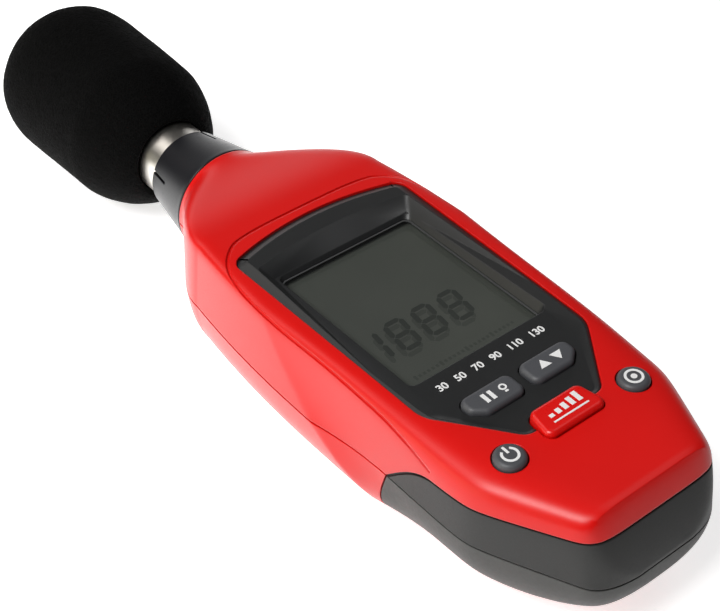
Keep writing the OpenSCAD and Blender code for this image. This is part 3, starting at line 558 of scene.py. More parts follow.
def caseStations():
    gap = case["stationGap"]
    foot = endY + case["footRoundW"] * (1 - np.cos(np.linspace(0, rightAngle, case["footStations"])))
    low = np.arange(endY + case["footRoundW"] + gap / 2, flareY - gap / 4, gap)
    flare = np.linspace(flareY, case["neckReach"], case["flareStations"])
    return np.concatenate([foot, low, flare])


def quarterRing(power):
    # unit squared ellipse: steps up the side that close in on the corner, then back along the face
    up = 2 ** (-1 / power) * (1 - (1 - np.linspace(0, 1, case["ringSteps"] + 1)) ** case["cornerPull"])
    across = (1 - up ** power) ** (1 / power)
    return np.append(across, up[-2::-1]), np.append(up, across[-2::-1])


def caseLoft(name, side, dw=0.0, dh=0.0, low=0.0, skirt=0.0, lift=0.0):
    # dw and dh take the section in, and a skirt carries it on past the parting plane
    rings = []
    for y in caseStations():
        tall, power = caseSection(y, side)
        across, up = quarterRing(power)
        rise = side * max(case["leastH"], tall - dh) * up
        x = (halfWidth(y, rise) - dw) * across
        z = np.maximum(low, axisZ + rise) + lift
        along = y + dw * max(0.0, 1 - (y - endY) / (2 * case["footRoundW"]))
        ring = np.column_stack([
            np.append(x, -x[-2::-1]), np.full(2 * len(x) - 1, along), np.append(z, z[-2::-1])])
        if skirt:
            drop = (0, 0, side * skirt)
            ring = np.vstack([ring[0] - drop, ring, ring[-1] - drop])
        rings.append(ring)
    return stacked(name, rings)


# outlines that more than one piece shares

keyRow = {"oblongX": 7.1, "oblongY": -53.9, "oblongW": 12.0, "oblongL": 5.8, "endRound": 1.8,
          "cut": (2.8, 2.3), "wideY": -65.2, "wideW": 14.6, "wideL": 7.0, "taper": 1.3, "wideRound": 1.7,
          "roundX": 15.1, "roundY": -67.1, "roundD": 6.2, "gap": 0.25}
bezel = {"half": 21.5, "reach": 10.4, "arch": 3.8, "waist": 1.1, "slopeY": -50.0, "slopeRound": 7.0,
         "toeHalf": 9.1, "toeY": -65.3, "corner": 3.2, "archSteps": 25, "crease": 20,
         "rise": 0.4, "seat": 29.7, "seatLap": 2.0, "base": 27.95, "plugGap": 5.3, "plugTop": 0.2,
         "bandW": 2.4, "bandDip": 0.55, "ridge": 3.8, "ridgeArch": 2.2, "ridgeHalf": 19.1,
         "ridgeCorner": 1.2, "wellZ": 30.2, "toeZ": 31.2, "browGap": 2.2,
         "floorSide": 0.5, "floorEdge": 1.2, "floorCorner": 3.0,
         "viewRaise": 1.4, "viewCorner": 1.6, "flare": 0.7, "flareH": 5.0,
         "windowT": 1.2, "windowLap": 2.05, "windowCorner": 1.0, "rimW": 0.35, "rimZ": (0.01, 0.16)}
windowZ = bezel["base"] + bezel["windowT"]


def floorZ(y):
    # the well's floor rises towards its lower end
    top = bezel["browGap"] - case["viewDrop"]
    return mixed(bezel["wellZ"], bezel["toeZ"], (top - y) / (top - bezel["toeY"]))


def archPoints(half, top, sag):
    return [(half * u, top - sag * u * u) for u in np.linspace(-1, 1, bezel["archSteps"])]


def bezelOutline(grow=0.0, corner=bezel["corner"]):
    top = archPoints(bezel["half"], bezel["reach"], bezel["arch"])
    low = [(bezel["half"] - bezel["waist"], bezel["slopeY"]), (bezel["toeHalf"], bezel["toeY"]),
           (-bezel["toeHalf"], bezel["toeY"]), (bezel["waist"] - bezel["half"], bezel["slopeY"])]
    radii = [corner] * len(top) + [bezel["slopeRound"], corner, corner, bezel["slopeRound"]]
    return roundOutline(top + low, radii, grow)


def viewOutline(lean=0.0, grow=0.0):
    # display opening, whose far edges lean back
    half, low = case["viewW"] / 2, -case["viewDrop"] - case["viewL"]
    top = bezel["viewRaise"] - case["viewDrop"]
    return roundOutline(rectangle(-half, low, half + lean, top + lean), bezel["viewCorner"], grow)


def oblongOutline(mirror, grow=0.0):
    w, h, (cx, cy) = keyRow["oblongW"] / 2, keyRow["oblongL"] / 2, keyRow["cut"]
    corners = [(-w, -h), (w - cx, -h), (w, cy - h), (w, h), (-w, h)]
    out = roundOutline(corners, keyRow["endRound"], grow)
    return out * (mirror, 1) + (mirror * keyRow["oblongX"], keyRow["oblongY"])


def wideOutline(grow=0.0):
    w, h, t = keyRow["wideW"] / 2, keyRow["wideL"] / 2, keyRow["taper"]
    out = roundOutline([(-w, -h), (w, -h), (w - t, h), (t - w, h)], keyRow["wideRound"], grow)
    return out + (0, keyRow["wideY"])


def roundKeyOutline(side, grow=0.0):
    return disc((side * keyRow["roundX"], keyRow["roundY"]), keyRow["roundD"] / 2 + grow)


def cutAcross(outline, y, keepAbove):
    # keeps the part of a convex outline above or below a line across the case
    kept = []
    for a, b in zip(outline, np.roll(outline, -1, axis=0)):
        inside = (a[1] >= y) == keepAbove
        if inside:
            kept.append(a)
        if ((b[1] >= y) == keepAbove) != inside:
            kept.append(a + (b - a) * (y - a[1]) / (b[1] - a[1]))
    return np.array(kept)


grip = {"startY": -45.5, "rise": 13.0, "edgeH": 8.4, "endH": 11.0, "lowH": 4.5, "bulge": 2.7,
        "thick": 1.2, "groove": 0.4, "grooveDeep": 0.55, "past": 2.0, "across": 1.0,
        "frontSteps": 25, "rearSteps": 17}


def gripEdge(curve, gap, endZ, backZ):
    # a curved upper edge, closed past the foot and across the parting plane
    end = endY - grip["past"]
    return curve + [(end, endZ), (end, backZ), (grip["startY"] - gap, backZ)]


def frontEdge(gap):
    curve = [(grip["startY"] - gap - grip["rise"] * u, axisZ - gap + grip["edgeH"] * math.sin(u * rightAngle))
             for u in np.linspace(0, 1, grip["frontSteps"])]
    return gripEdge(curve, gap, axisZ - gap + grip["endH"], axisZ - grip["across"])


def rearEdge(gap):
    low = grip["lowH"] + gap
    curve = [(grip["startY"] - gap + grip["bulge"] * math.sin(u * rightAngle), mixed(axisZ, low, u))
             for u in np.linspace(0, 1, grip["rearSteps"])]
    return gripEdge(curve, gap, low, axisZ + grip["across"])


def gripPocket(edge, side):
    # room for a grip in the outside of a shell
    deep = grip["thick"] + slack
    pocket = sidePrism("pocket", edge(0), case["caseW"])
    return carve(pocket, caseLoft("pocketCore", side, deep, deep, skirt=case["skirt"]))


# shells

seam = {"gap": 0.2, "deep": 0.6, "past": 5.0, "neckGap": 0.2}
mouldLine = {"radius": 0.36, "sink": 0.16, "sides": 10, "fine": 8, "sweeps": 10, "fits": 4,
             "path": [(0, 12.8, 31.9), (10.8, 12.7, 31.9), (17.7, 11.9, 31.9), (21.1, 9.1, 31.8),
                      (23.5, 5.3, 31.5), (24.9, -1.7, 31.0), (25.2, -10, 30.9), (25.2, -15.2, 30.6),
                      (24.5, -28.8, 30.4), (24.3, -36.6, 30.0), (24.1, -44.3, 29.6), (24.1, -51.3, 28.3),
                      (24.2, -57.3, 26.4)]}


def seamCutter(side):
    # shallow groove along the parting plane
    reach, gap, deep = case["caseW"], seam["gap"], seam["deep"]
    slab = block("seam", (-reach, endY - seam["past"], axisZ - gap),
                 (reach, case["neckReach"] - seam["neckGap"], axisZ + gap))
    return carve(slab, caseLoft("seamCore", side, deep, deep, skirt=2 * case["skirt"]))


def onCase(path):
    # points moved out from the axis on to the front of the case
    x, y, dz = path[:, 0], path[:, 1], path[:, 2] - axisZ
    tall, power = caseSection(y, 1)
    for fit in range(mouldLine["fits"]):
        out = (np.abs(x / halfWidth(y, dz)) ** power + (dz / tall) ** power) ** (1 / power)
        x, dz = x / out, dz / out
    return np.column_stack([x, y, axisZ + dz])


def lineCutter():
    # the moulded line, a thin tube over the brow, round the shoulders and down both sides
    half = np.array(mouldLine["path"], float)
    path = np.vstack([half[:0:-1] * (-1, 1, 1), half])
    fine = [a + (b - a) * u for a, b in zip(path[:-1], path[1:])
            for u in np.linspace(0, 1, mouldLine["fine"], endpoint=False)]
    path = np.array(fine + [path[-1]])
    for sweep in range(mouldLine["sweeps"]):
        path[1:-1] = (path[:-2] + 2 * path[1:-1] + path[2:]) / 4
    path = onCase(path)
    along = np.gradient(path, axis=0)
    along /= np.linalg.norm(along, axis=1)[:, None]
    beside = np.cross(along, path * (1, 0, 1) - (0, 0, axisZ))
    beside /= np.linalg.norm(beside, axis=1)[:, None]
    out = np.cross(beside, along)
    circle = disc((0, 0), mouldLine["radius"], mouldLine["sides"])
    path = path - mouldLine["sink"] * out
    return stacked("line", [p + circle @ np.array([o, b]) for p, o, b in zip(path, out, beside)])


def makeFrontShell():
    shell = caseLoft("front_case", 1)
    holeZ = axisZ + 2 * over
    carve(shell, caseLoft("inside", 1, case["wall"], case["roof"], skirt=case["skirt"]))
    carve(shell, gripPocket(frontEdge, 1))
    carve(shell, prism("seat", bezelOutline(slack), bezel["seat"] - slack, aboveFace))
    carve(shell, prism("opening", bezelOutline(-bezel["seatLap"]), holeZ, aboveFace))
    carve(shell, prism("wideHole", wideOutline(keyRow["gap"]), holeZ, aboveFace))
    for side in (-1, 1):
        carve(shell, prism("roundHole", roundKeyOutline(side, keyRow["gap"]), holeZ, aboveFace))
    carve(shell, lineCutter())
    carve(shell, seamCutter(1))
    softShade(shell, case["crease"])
    return settle(shell, "housing", paint["shellRed"], "shell", "front_shell")


bay = {"half": 16.3, "y1": -8.0, "y0": -59.2, "z1": 14.35, "wall": 1.2, "ledge": 1.4, "gap": 0.25,
       "doorT": 3.2, "doorLap": 1.3, "corner": 3.0,
       "tabR": 4.2, "tabDrop": 3.8, "tabLap": 2.0, "tabSteps": 33}
rear = {"postR": 2.9, "postTop": 9.2, "threadR": 1.15, "threadTop": 8.6,
        "bossR": 6.1, "bossTop": 9.6, "socketR": 4.55, "socketTop": 8.0,
        "screws": ((17.5, 21.0), (8.3, -78.8)), "screwR": 2.7, "screwTop": 5.4}
doorTop = bay["y1"] + bay["doorLap"]
doorLow = bay["y0"] - bay["doorLap"]
tabY = doorLow - bay["tabDrop"]


def doorOutline(grow=0.0):
    half = bay["half"] + bay["doorLap"]
    return roundOutline(rectangle(-half, doorLow, half, doorTop), bay["corner"], grow)


def tabOutline(grow=0.0):
    r, lap = bay["tabR"] + grow, doorLow + bay["tabLap"]
    tip = arc((0, tabY), r, np.linspace(math.pi, fullTurn, bay["tabSteps"]))
    return np.vstack([tip, (r, lap), (-r, lap)])


def backCylinder(name, centre, radius, top):
    return prism(name, disc(centre, radius), belowBack, top)


def makeRearShell():
    half, y1, y0, wall = (bay[k] for k in ("half", "y1", "y0", "wall"))
    rim, seatZ = bay["doorLap"] + wall, bay["doorT"] + slack
    shell = caseLoft("rear_case", -1)
    hollow = caseLoft("inside", -1, case["wall"], case["wall"], low=case["wall"], skirt=case["skirt"])
    carve(hollow, block("bay", (-half - wall, y0 - wall, belowBack),
                        (half + wall, y1 + wall, bay["z1"] + wall)))
    carve(hollow, block("pad", (-half - rim, tabY - bay["tabR"] - wall, belowBack),
                        (half + rim, y1 + rim, bay["doorT"] + bay["ledge"])))
    carve(hollow, backCylinder("post", (0, tabY), rear["postR"], rear["postTop"]))
    carve(hollow, backCylinder("boss", (0, 0), rear["bossR"], rear["bossTop"]))
    carve(shell, hollow)
    carve(shell, block("room", (-half, y0, belowBack), (half, y1, bay["z1"])))
    carve(shell, prism("doorSeat", doorOutline(bay["gap"]), belowBack, seatZ))
    carve(shell, prism("tabSeat", tabOutline(bay["gap"]), belowBack, seatZ))
    carve(shell, backCylinder("thread", (0, tabY), rear["threadR"], rear["threadTop"]))
    carve(shell, backCylinder("socket", (0, 0), rear["socketR"], rear["socketTop"]))
    for (x, y), side in product(rear["screws"], (1, -1)):
        carve(shell, backCylinder("headRoom", (side * x, y), rear["screwR"], rear["screwTop"]))
    carve(shell, gripPocket(rearEdge, -1))
    carve(shell, seamCutter(-1))
    softShade(shell, case["crease"])
    return settle(shell, "housing", paint["shellRed"], "shell", "rear_shell")


makeFrontShell()
makeRearShell()
print("shells made")


def makeGrip(name, side, edge, node, material):
    # full thickness inside the groove, and a lower tongue that fills the pocket
    thick, deep = grip["thick"], grip["grooveDeep"]
    piece = caseLoft(name, side)
    carve(piece, sidePrism("field", edge(grip["groove"]), case["caseW"]), "INTERSECT")
    tongue = caseLoft("tongue", side, deep, deep)
    carve(tongue, sidePrism("field", edge(slack), case["caseW"]), "INTERSECT")
    carve(piece, tongue, "UNION")
    carve(piece, caseLoft("core", side, thick, thick, skirt=2 * case["skirt"]))
    carve(piece, seamCutter(side))
    softShade(piece, case["crease"])
    return settle(piece, "housing", material, "grip", node)


# the upper grip takes the grey painted darker as shade, the lower one the grey painted paler as floor light
makeGrip("grip_upper", 1, frontEdge, "front_grip", paint["gripShadedGrey"])
makeGrip("grip_lower", -1, rearEdge, "rear_grip", paint["gripLitGrey"])
print("grips made")


def bezelWell():
    # sloped hollow between the ridge at the brow and the bezel's lower end
    reach = case["viewW"] / 2 + bezel["floorSide"]
    edge, corner = bezel["floorEdge"], bezel["floorCorner"]
    floor = cutAcross(bezelOutline(-edge, corner), bezel["browGap"] - case["viewDrop"], False)
    wide, low = bezel["ridgeHalf"], case["kinkY"]
    ridge = archPoints(wide, bezel["ridge"], bezel["ridgeArch"])
    rimTop = roundOutline(ridge + [(wide, low), (-wide, low)], bezel["ridgeCorner"])
    rimLow = cutAcross(bezelOutline(edge, corner), bezel["slopeY"], False)
    high = faceZ + bezel["rise"]
    points = [(max(-reach, min(reach, x)), y, floorZ(y)) for x, y in floor]
    points += [(x, y, z) for x, y in np.vstack([rimTop, rimLow]) for z in (high, high + over)]
    return hull("well", points)


def makeBezel():
    piece = stacked("bezel", [
        flatRing(bezelOutline(), bezel["seat"]), flatRing(bezelOutline(), faceZ - bezel["bandDip"]),
        flatRing(bezelOutline(-bezel["bandW"]), faceZ + bezel["rise"] + slack)])
    carve(piece, caseLoft("crown", 1, lift=bezel["rise"]), "INTERSECT")
    plug = cutAcross(bezelOutline(-bezel["seatLap"]), keyRow["oblongY"] - bezel["plugGap"], True)
    plug = cutAcross(plug, bezel["plugTop"], False)
    carve(piece, prism("plug", plug, bezel["base"], bezel["seat"] + 2 * slack), "UNION")
    carve(piece, bezelWell())
    flareH = bezel["flareH"]
    carve(piece, stacked("view", [flatRing(viewOutline(lean), z) for lean, z in (
        (0, axisZ), (0, windowZ), (bezel["flare"] * flareH, windowZ + flareH))]))
    half, top, lap = case["viewW"] / 2, -case["viewDrop"], bezel["windowLap"]
    seat = rectangle(-half - lap, top - case["viewL"] - lap, half + lap, top + lap)
    carve(piece, prism("pocket", roundOutline(seat, bezel["windowCorner"]), axisZ, windowZ + slack))
    for mirror in (-1, 1):
        carve(piece, prism("keyHole", oblongOutline(mirror, keyRow["gap"])[::mirror], axisZ, aboveFace))
    carve(piece, prism("wideHole", wideOutline(keyRow["gap"]), axisZ, aboveFace))
    softShade(piece, bezel["crease"])
    return settle(piece, "housing", paint["bezelBlack"], "bezel", "display_bezel")


def makeWindowRimHighlight():
    # pale ring on the window's face round the opening's edge, a painted highlight where that edge catches the
    # light
    low, high = bezel["rimZ"]
    rim = prism("window_rim_highlight", viewOutline(), windowZ + low, windowZ + high)
    carve(rim, prism("view", viewOutline(0, -bezel["rimW"]), windowZ - over, windowZ + over))
    return settle(rim, "housing", paint["rimHighlightGrey"], "window")


makeBezel()
makeWindowRimHighlight()
print("bezel made")

# keys, each form with the heights of its lip and its top

keys = {"lipT": 0.8, "lip": 1.1, "edge": 1.0, "steps": 10, "crease": 40,
        "oblong": (27.65, 32.13), "wide": (28.65, 33.0), "round": (27.6, 32.7)}


def makeKey(name, body, form, outlineAt, slotName, colour="keyGrey"):
    lipZ, topZ = keys[form]
    edge = keys["edge"]
    rings = [flatRing(outlineAt(keys["lip"]), lipZ - keys["lipT"]),
             flatRing(outlineAt(keys["lip"]), lipZ), flatRing(outlineAt(0.0), lipZ)]
    for turn in np.linspace(0, rightAngle, keys["steps"]):
        rings.append(flatRing(outlineAt(-edge * (1 - math.cos(turn))), topZ - edge + edge * math.sin(turn)))
    key = stacked(name, rings)
    softShade(key, keys["crease"])
    return settle(key, body, paint[colour], slotName, body)


makeKey("key_hold", "hold_button", "oblong", lambda grow: oblongOutline(-1, grow), "grey_key")
makeKey("key_max_min", "max_min_button", "oblong", lambda grow: oblongOutline(1, grow), "grey_key")
makeKey("key_range", "range_button", "wide", wideOutline, "red_key", "keyRed")
makeKey("key_power", "power_button", "round", lambda grow: roundKeyOutline(-1, grow), "round_key")
makeKey("key_link", "link_button", "round", lambda grow: roundKeyOutline(1, grow), "round_key")
print("keys made")

# printed marks: thin raised ink, placed from the middle of each key

inkFilm = {"thick": 0.06, "sink": 0.02, "steps": 40}
mark = {
    "fullRing": (0, 359.9),
    "powerRing": (1.25, 1.75), "powerOpen": (125, 415), "powerBar": (0.5, 1.7), "powerBarUp": 1.25,
    "linkRing": (1.35, 1.85), "linkDot": (0.02, 0.62),
    "pauseX": (-1.7, -0.2), "pauseBar": (0.8, 2.3),
    "lampX": 2.6, "lampUp": 0.25, "lampRing": (0.45, 0.8), "lampFootUp": -0.95, "lampFoot": (0.7, 0.45),
    "upArrow": [(-3.0, -0.95), (-0.4, -0.95), (-1.7, 1.15)],
    "downArrow": [(0.6, 0.95), (1.9, -1.15), (3.2, 0.95)],
    "bars": 5, "barX": -3.4, "barUp": 0.05, "barStep": 1.7, "barLift": 0.21,
    "barW": 1.0, "barH": 0.8, "barGrow": 0.42, "ruleUp": -1.4, "rule": (8.4, 0.36),
}


def inkShape(points, z):
    return prism("shape", points, z - inkFilm["sink"], z + inkFilm["thick"])


def inkRing(centre, radii, z, turn=mark["fullRing"]):
    turns = np.radians(np.linspace(*turn, inkFilm["steps"]))
    inner, outer = radii
    return inkShape(np.vstack([arc(centre, outer, turns), arc(centre, inner, turns[::-1])]), z)


def inkBar(centre, size, z):
    (x, y), w, h = centre, size[0] / 2, size[1] / 2
    return inkShape(rectangle(x - w, y - h, x + w, y + h), z)


def printKey(name, body, shapes):
    return settle(joined(name, shapes), body, paint["printWhite"], "grey_key")


def printMarks():
    x, y, z = -keyRow["roundX"], keyRow["roundY"], keys["round"][1]
    printKey("mark_power", "power_button", [
        inkRing((x, y), mark["powerRing"], z, mark["powerOpen"]),
        inkBar((x, y + mark["powerBarUp"]), mark["powerBar"], z)])
    x = keyRow["roundX"]
    printKey("mark_link", "link_button", [inkRing((x, y), mark[part], z) for part in ("linkRing", "linkDot")])
    x, y, z = -keyRow["oblongX"], keyRow["oblongY"], keys["oblong"][1]
    lampX = x + mark["lampX"]
    pause = [inkBar((x + dx, y), mark["pauseBar"], z) for dx in mark["pauseX"]]
    printKey("mark_hold", "hold_button", pause + [
        inkRing((lampX, y + mark["lampUp"]), mark["lampRing"], z),
        inkBar((lampX, y + mark["lampFootUp"]), mark["lampFoot"], z)])
    x = keyRow["oblongX"]
    printKey("mark_max_min", "max_min_button", [
        inkShape([(x + dx, y + dy) for dx, dy in mark[part]], z) for part in ("upArrow", "downArrow")])
    y, z = keyRow["wideY"], keys["wide"][1]
    bars = [inkBar((mark["barX"] + mark["barStep"] * i, y + mark["barUp"] + mark["barLift"] * i),
                   (mark["barW"], mark["barH"] + mark["barGrow"] * i), z) for i in range(mark["bars"])]
    printKey("mark_range", "range_button", bars + [inkBar((0, y + mark["ruleUp"]), mark["rule"], z)])


printMarks()

numberRow = {"numbers": "30   50   70   90   110   130", "size": 2.35, "y": -45.9, "weight": 0.05}


def printScale():
    # a row of plain numbers below the display
    curve = bpy.data.curves.new("numbers", "FONT")
    curve.body = numberRow["numbers"]
    curve.size = numberRow["size"] * mm
    curve.offset = numberRow["weight"] * mm
    curve.extrude = inkFilm["thick"] / 2 * mm
    curve.align_x, curve.align_y = "CENTER", "CENTER"
    holder = placed("numbers", curve)
    made = evaluated(holder)
    bpy.data.objects.remove(holder)
    bpy.data.curves.remove(curve)
    slope = math.atan(floorZ(1) - floorZ(0))
    place = Vector((0, numberRow["y"], floorZ(numberRow["y"]) + inkFilm["thick"] / 2 - inkFilm["sink"])) * mm
    made.transform(Matrix.Translation(place) @ Matrix.Rotation(slope, 4, "X"))
    return settle(fixNormals(placed("scale_numbers", made)), "housing", paint["printWhite"], "bezel")


printScale()
print("key marks printed")

# display

lcd = {"top": 27.9, "digits": ("bc", "abcdefg", "abcdefg", "abcdefg"), "digitW": 5.0, "digitH": 9.0,
       "stroke": 1.15, "lean": 0.12, "pitch": 6.7, "split": 0.1, "first": -15.985, "base": -32.2,
       "ink": 0.008, "inkUp": 0.03, "shadeUp": 0.006, "shadow": (-0.9, -1.5)}


def segmentShapes(which, x, y, z):
    # mitred strokes of one digit
    w, h, stroke, lean, gap = (lcd[k] for k in ("digitW", "digitH", "stroke", "lean", "split"))
    r = stroke / 2
    lying = {"a": h - r, "g": h / 2, "d": r}
    standing = {"b": (w - r, h / 2), "c": (w - r, r), "f": (r, h / 2), "e": (r, r)}
    shapes = []
    for key in which:
        if key in lying:
            at, side, start, end = lying[key], -r, r + gap, w - r - gap
        else:
            (at, low), side = standing[key], r
            start, end = low + gap, low + h / 2 - r - gap
        ring = [(start, at), (start + r, at + side), (end - r, at + side),
                (end, at), (end - r, at - side), (start + r, at - side)]
        if key in standing:
            ring = [(across, along) for along, across in ring]
        shapes.append(prism("segment", [(x + u + lean * v, y + v) for u, v in ring], z, z + lcd["ink"]))
    return shapes


def makeDigits(name, shift, z, material):
    shapes = []
    x, y = lcd["first"] + shift[0], lcd["base"] + shift[1]
    for index, which in enumerate(lcd["digits"]):
        shapes += segmentShapes(which, x + lcd["pitch"] * index, y, z)
    return settle(joined(name, shapes), "housing", material, "lcd")


makeDigits("lcd_digits", (0, 0), lcd["top"] + lcd["inkUp"], paint["lcdInk"])
makeDigits("lcd_digit_shadow", lcd["shadow"], lcd["top"] + lcd["shadeUp"], paint["lcdShade"])

lcdBars = {"count": 24, "pitch": 1.05, "width": 0.6, "height": 1.3, "thick": 0.012, "long": 6, "short": 0.55,
           "start": (-12.1, -38.6), "up": 0.012}


def barTree():
    # a row of bars with a long one at even steps and short ones between
    tree = bpy.data.node_groups.new("barRow", "GeometryNodeTree")
    kinds = {"Count": "Int", "Pitch": "Float", "Width": "Float", "Height": "Float", "Thick": "Float",
             "Long": "Int", "Start": "Vector", "Ink": "Material"}
    sizes = {}
    for label, kind in kinds.items():
        socket = tree.interface.new_socket(label, in_out="INPUT", socket_type="NodeSocket" + kind)
        sizes[label] = socket.identifier
    tree.interface.new_socket("Geometry", in_out="OUTPUT", socket_type="NodeSocketGeometry")
    given, result = addNode(tree, "NodeGroupInput"), addNode(tree, "NodeGroupOutput")
    line = addNode(tree, "GeometryNodeMeshLine")
    step = addNode(tree, "ShaderNodeCombineXYZ")
    bar = addNode(tree, "GeometryNodeMeshCube")
    size = addNode(tree, "ShaderNodeCombineXYZ")
    index = addNode(tree, "GeometryNodeInputIndex")
    every = addNode(tree, "ShaderNodeMath", operation="MODULO")
    isLong = addNode(tree, "FunctionNodeCompare", {"B": 0.5}, data_type="FLOAT", operation="LESS_THAN")
    stretch = addNode(tree, "GeometryNodeSwitch", {"False": (1, lcdBars["short"], 1), "True": (1, 1, 1)},
                      input_type="VECTOR")
    place = addNode(tree, "GeometryNodeInstanceOnPoints")
    solid = addNode(tree, "GeometryNodeRealizeInstances")
    ink = addNode(tree, "GeometryNodeSetMaterial")
    wire(tree, (given, "Count", line, "Count"), (given, "Start", line, "Start Location"),
         (given, "Pitch", step, "X"), (step, "Vector", line, "Offset"),
         (given, "Width", size, "X"), (given, "Height", size, "Y"), (given, "Thick", size, "Z"),
         (size, "Vector", bar, "Size"), (index, "Index", every, 0), (given, "Long", every, 1),
         (every, "Value", isLong, "A"), (isLong, "Result", stretch, "Switch"),
         (line, "Mesh", place, "Points"), (bar, "Mesh", place, "Instance"),
         (stretch, "Output", place, "Scale"), (place, "Instances", solid, "Geometry"),
         (solid, "Geometry", ink, "Geometry"), (given, "Ink", ink, "Material"),
         (ink, "Geometry", result, "Geometry"))
    return tree, sizes


def makeBars(name, material, slotName):
    tree, sizes = barTree()
    piece = placed(name, bpy.data.meshes.new(name))
    rule = piece.modifiers.new("bars", "NODES")
    rule.node_group = tree
    for key in ("pitch", "width", "height", "thick"):
        rule[sizes[key.capitalize()]] = lcdBars[key] * mm
    rule[sizes["Count"]] = lcdBars["count"]
    rule[sizes["Long"]] = lcdBars["long"]
    rule[sizes["Start"]] = tuple(c * mm for c in (*lcdBars["start"], lcd["top"] + lcdBars["up"]))
    rule[sizes["Ink"]] = material
    made = evaluated(piece)
    piece.modifiers.remove(rule)
    piece.data = made
    return settle(piece, "housing", material, slotName)


makeBars("lcd_bars", paint["lcdShade"], "lcd")
print("display made")

# microphone collar and windscreen

mic = {"collarLen": 15.7, "collarEndR": 9.75, "sleeveR": 8.8, "sleeveSeat": 7.5, "boreR": 4.0,
       "spigotR": 9.65, "spigotL": 7.0, "seam": 0.35, "seamDeep": 0.55,
       "edgeIn": 0.2, "edgeOut": 0.12, "edgeRound": 0.3, "edgeSteps": 5,
       "coneIn": 0.08, "coneOut": 0.05, "conePart": (0.05, 0.97), "coneSteps": 14,
       "lip": 0.45, "lipSteps": 6,
       "slits": 4, "slitW": 0.7, "slitL": 6.5, "slitTurn": 24.0, "slitSink": 0.7, "crease": 30}


def makeCollar():
    y0, y1 = case["neckReach"], case["neckReach"] + mic["collarLen"]
    r0, r1, lip, rounding = neckR, mic["collarEndR"], mic["lip"], mic["edgeRound"]
    start, foot, seat = y0 + mic["seam"], y0 - mic["spigotL"], y1 - mic["sleeveSeat"]
    profile = [(mic["boreR"], foot), (mic["spigotR"], foot), (mic["spigotR"], y0),
               (r0 - mic["seamDeep"], y0), (r0 - mic["seamDeep"], start)]
    profile += [(r0 - mic["edgeIn"] + mic["edgeOut"] * math.sin(a), start + rounding - rounding * math.cos(a))
                for a in np.linspace(0, rightAngle, mic["edgeSteps"])]
    profile += [(mixed(r0 - mic["coneIn"], r1 + mic["coneOut"], u), mixed(start, y1, u))
                for u in np.linspace(*mic["conePart"], mic["coneSteps"])]
    profile += list(arc((r1 - lip, y1 - lip), lip, np.linspace(0, rightAngle, mic["lipSteps"])))
    room = mic["sleeveR"] + slack
    profile += [(room, y1), (room, seat), (mic["boreR"], seat)]
    piece = turned("mic_cone", profile, axisZ)
    w = mic["slitW"] / 2
    for i in range(mic["slits"]):
        turn = math.radians(360 / mic["slits"] * i + mic["slitTurn"])
        slit = block("slit", (-w, y1 - mic["slitL"], r1 - mic["slitSink"]), (w, y1 + over, r0 + over))
        slit.data.transform(Matrix.Translation((0, 0, axisZ * mm)) @ Matrix.Rotation(turn, 4, "Y"))
        carve(piece, slit)
    softShade(piece, mic["crease"])
    return settle(piece, "housing", paint["collarBlack"], "collar", "mic_collar")


makeCollar()

foam = {"y0": 63.5, "length": 56.6, "lowR": 18.6, "fullR": 19.4, "lowLen": 15.9, "lowN": 1.4,
        "tipLen": 16.7, "tipN": 2.8, "tipR": 0.02, "lip": 1.0, "mouth": (0.35, 0.3),
        "boreR": 9.1, "tipBoreR": 6.9, "boreEnd": 91.2, "shoulder": (74.3, 78.3),
        "steps": 384, "lowSteps": 60, "sideSteps": 80, "tipSteps": 90, "crease": 70,
        "pore": 0.85, "poreDeep": 0.22, "poreReach": 0.55, "poreN": 1.5, "poreSeeds": (1, 2, 3),
        "lump": 9.0, "lumpDeep": 0.25, "lumpSink": 1.25, "lumpSeed": 7, "ripple": 3.0, "rippleShare": 0.5,
        "skin": 0.9, "skinEnd": 0.1}
hashWeights = (73856093, 19349663, 83492791, 2654435761, 1274126177)


def hashed(cells, seed):
    # repeatable value from 0 to 1 for each lattice cell
    a, b, c, d, e = hashWeights
    n = (cells[..., 0] * a) ^ (cells[..., 1] * b) ^ (cells[..., 2] * c) ^ (seed * d)
    n = (n ^ (n >> 13)) * e
    return ((n ^ (n >> 16)) & 0xFFFF) / 65535.0


def poreDepth(points, size):
    # distance to the nearest scattered pore centre, in cell sizes
    scaled = points / size
    base = np.floor(scaled).astype(np.int64)
    nearest = np.full(len(points), np.inf)
    for step in product((-1, 0, 1), repeat=3):
        cell = base + step
        spot = cell + np.stack([hashed(cell, seed) for seed in foam["poreSeeds"]], axis=-1)
        nearest = np.minimum(nearest, np.linalg.norm(scaled - spot, axis=1))
    return nearest


def softNoise(points, size):
    scaled = points / size
    base = np.floor(scaled).astype(np.int64)
    part = ease(0, 1, scaled - base)
    total = np.zeros(len(points))
    for step in product((0, 1), repeat=3):
        weight = np.prod(np.where(step, part, 1 - part), axis=1)
        total += weight * hashed(base + step, foam["lumpSeed"])
    return total


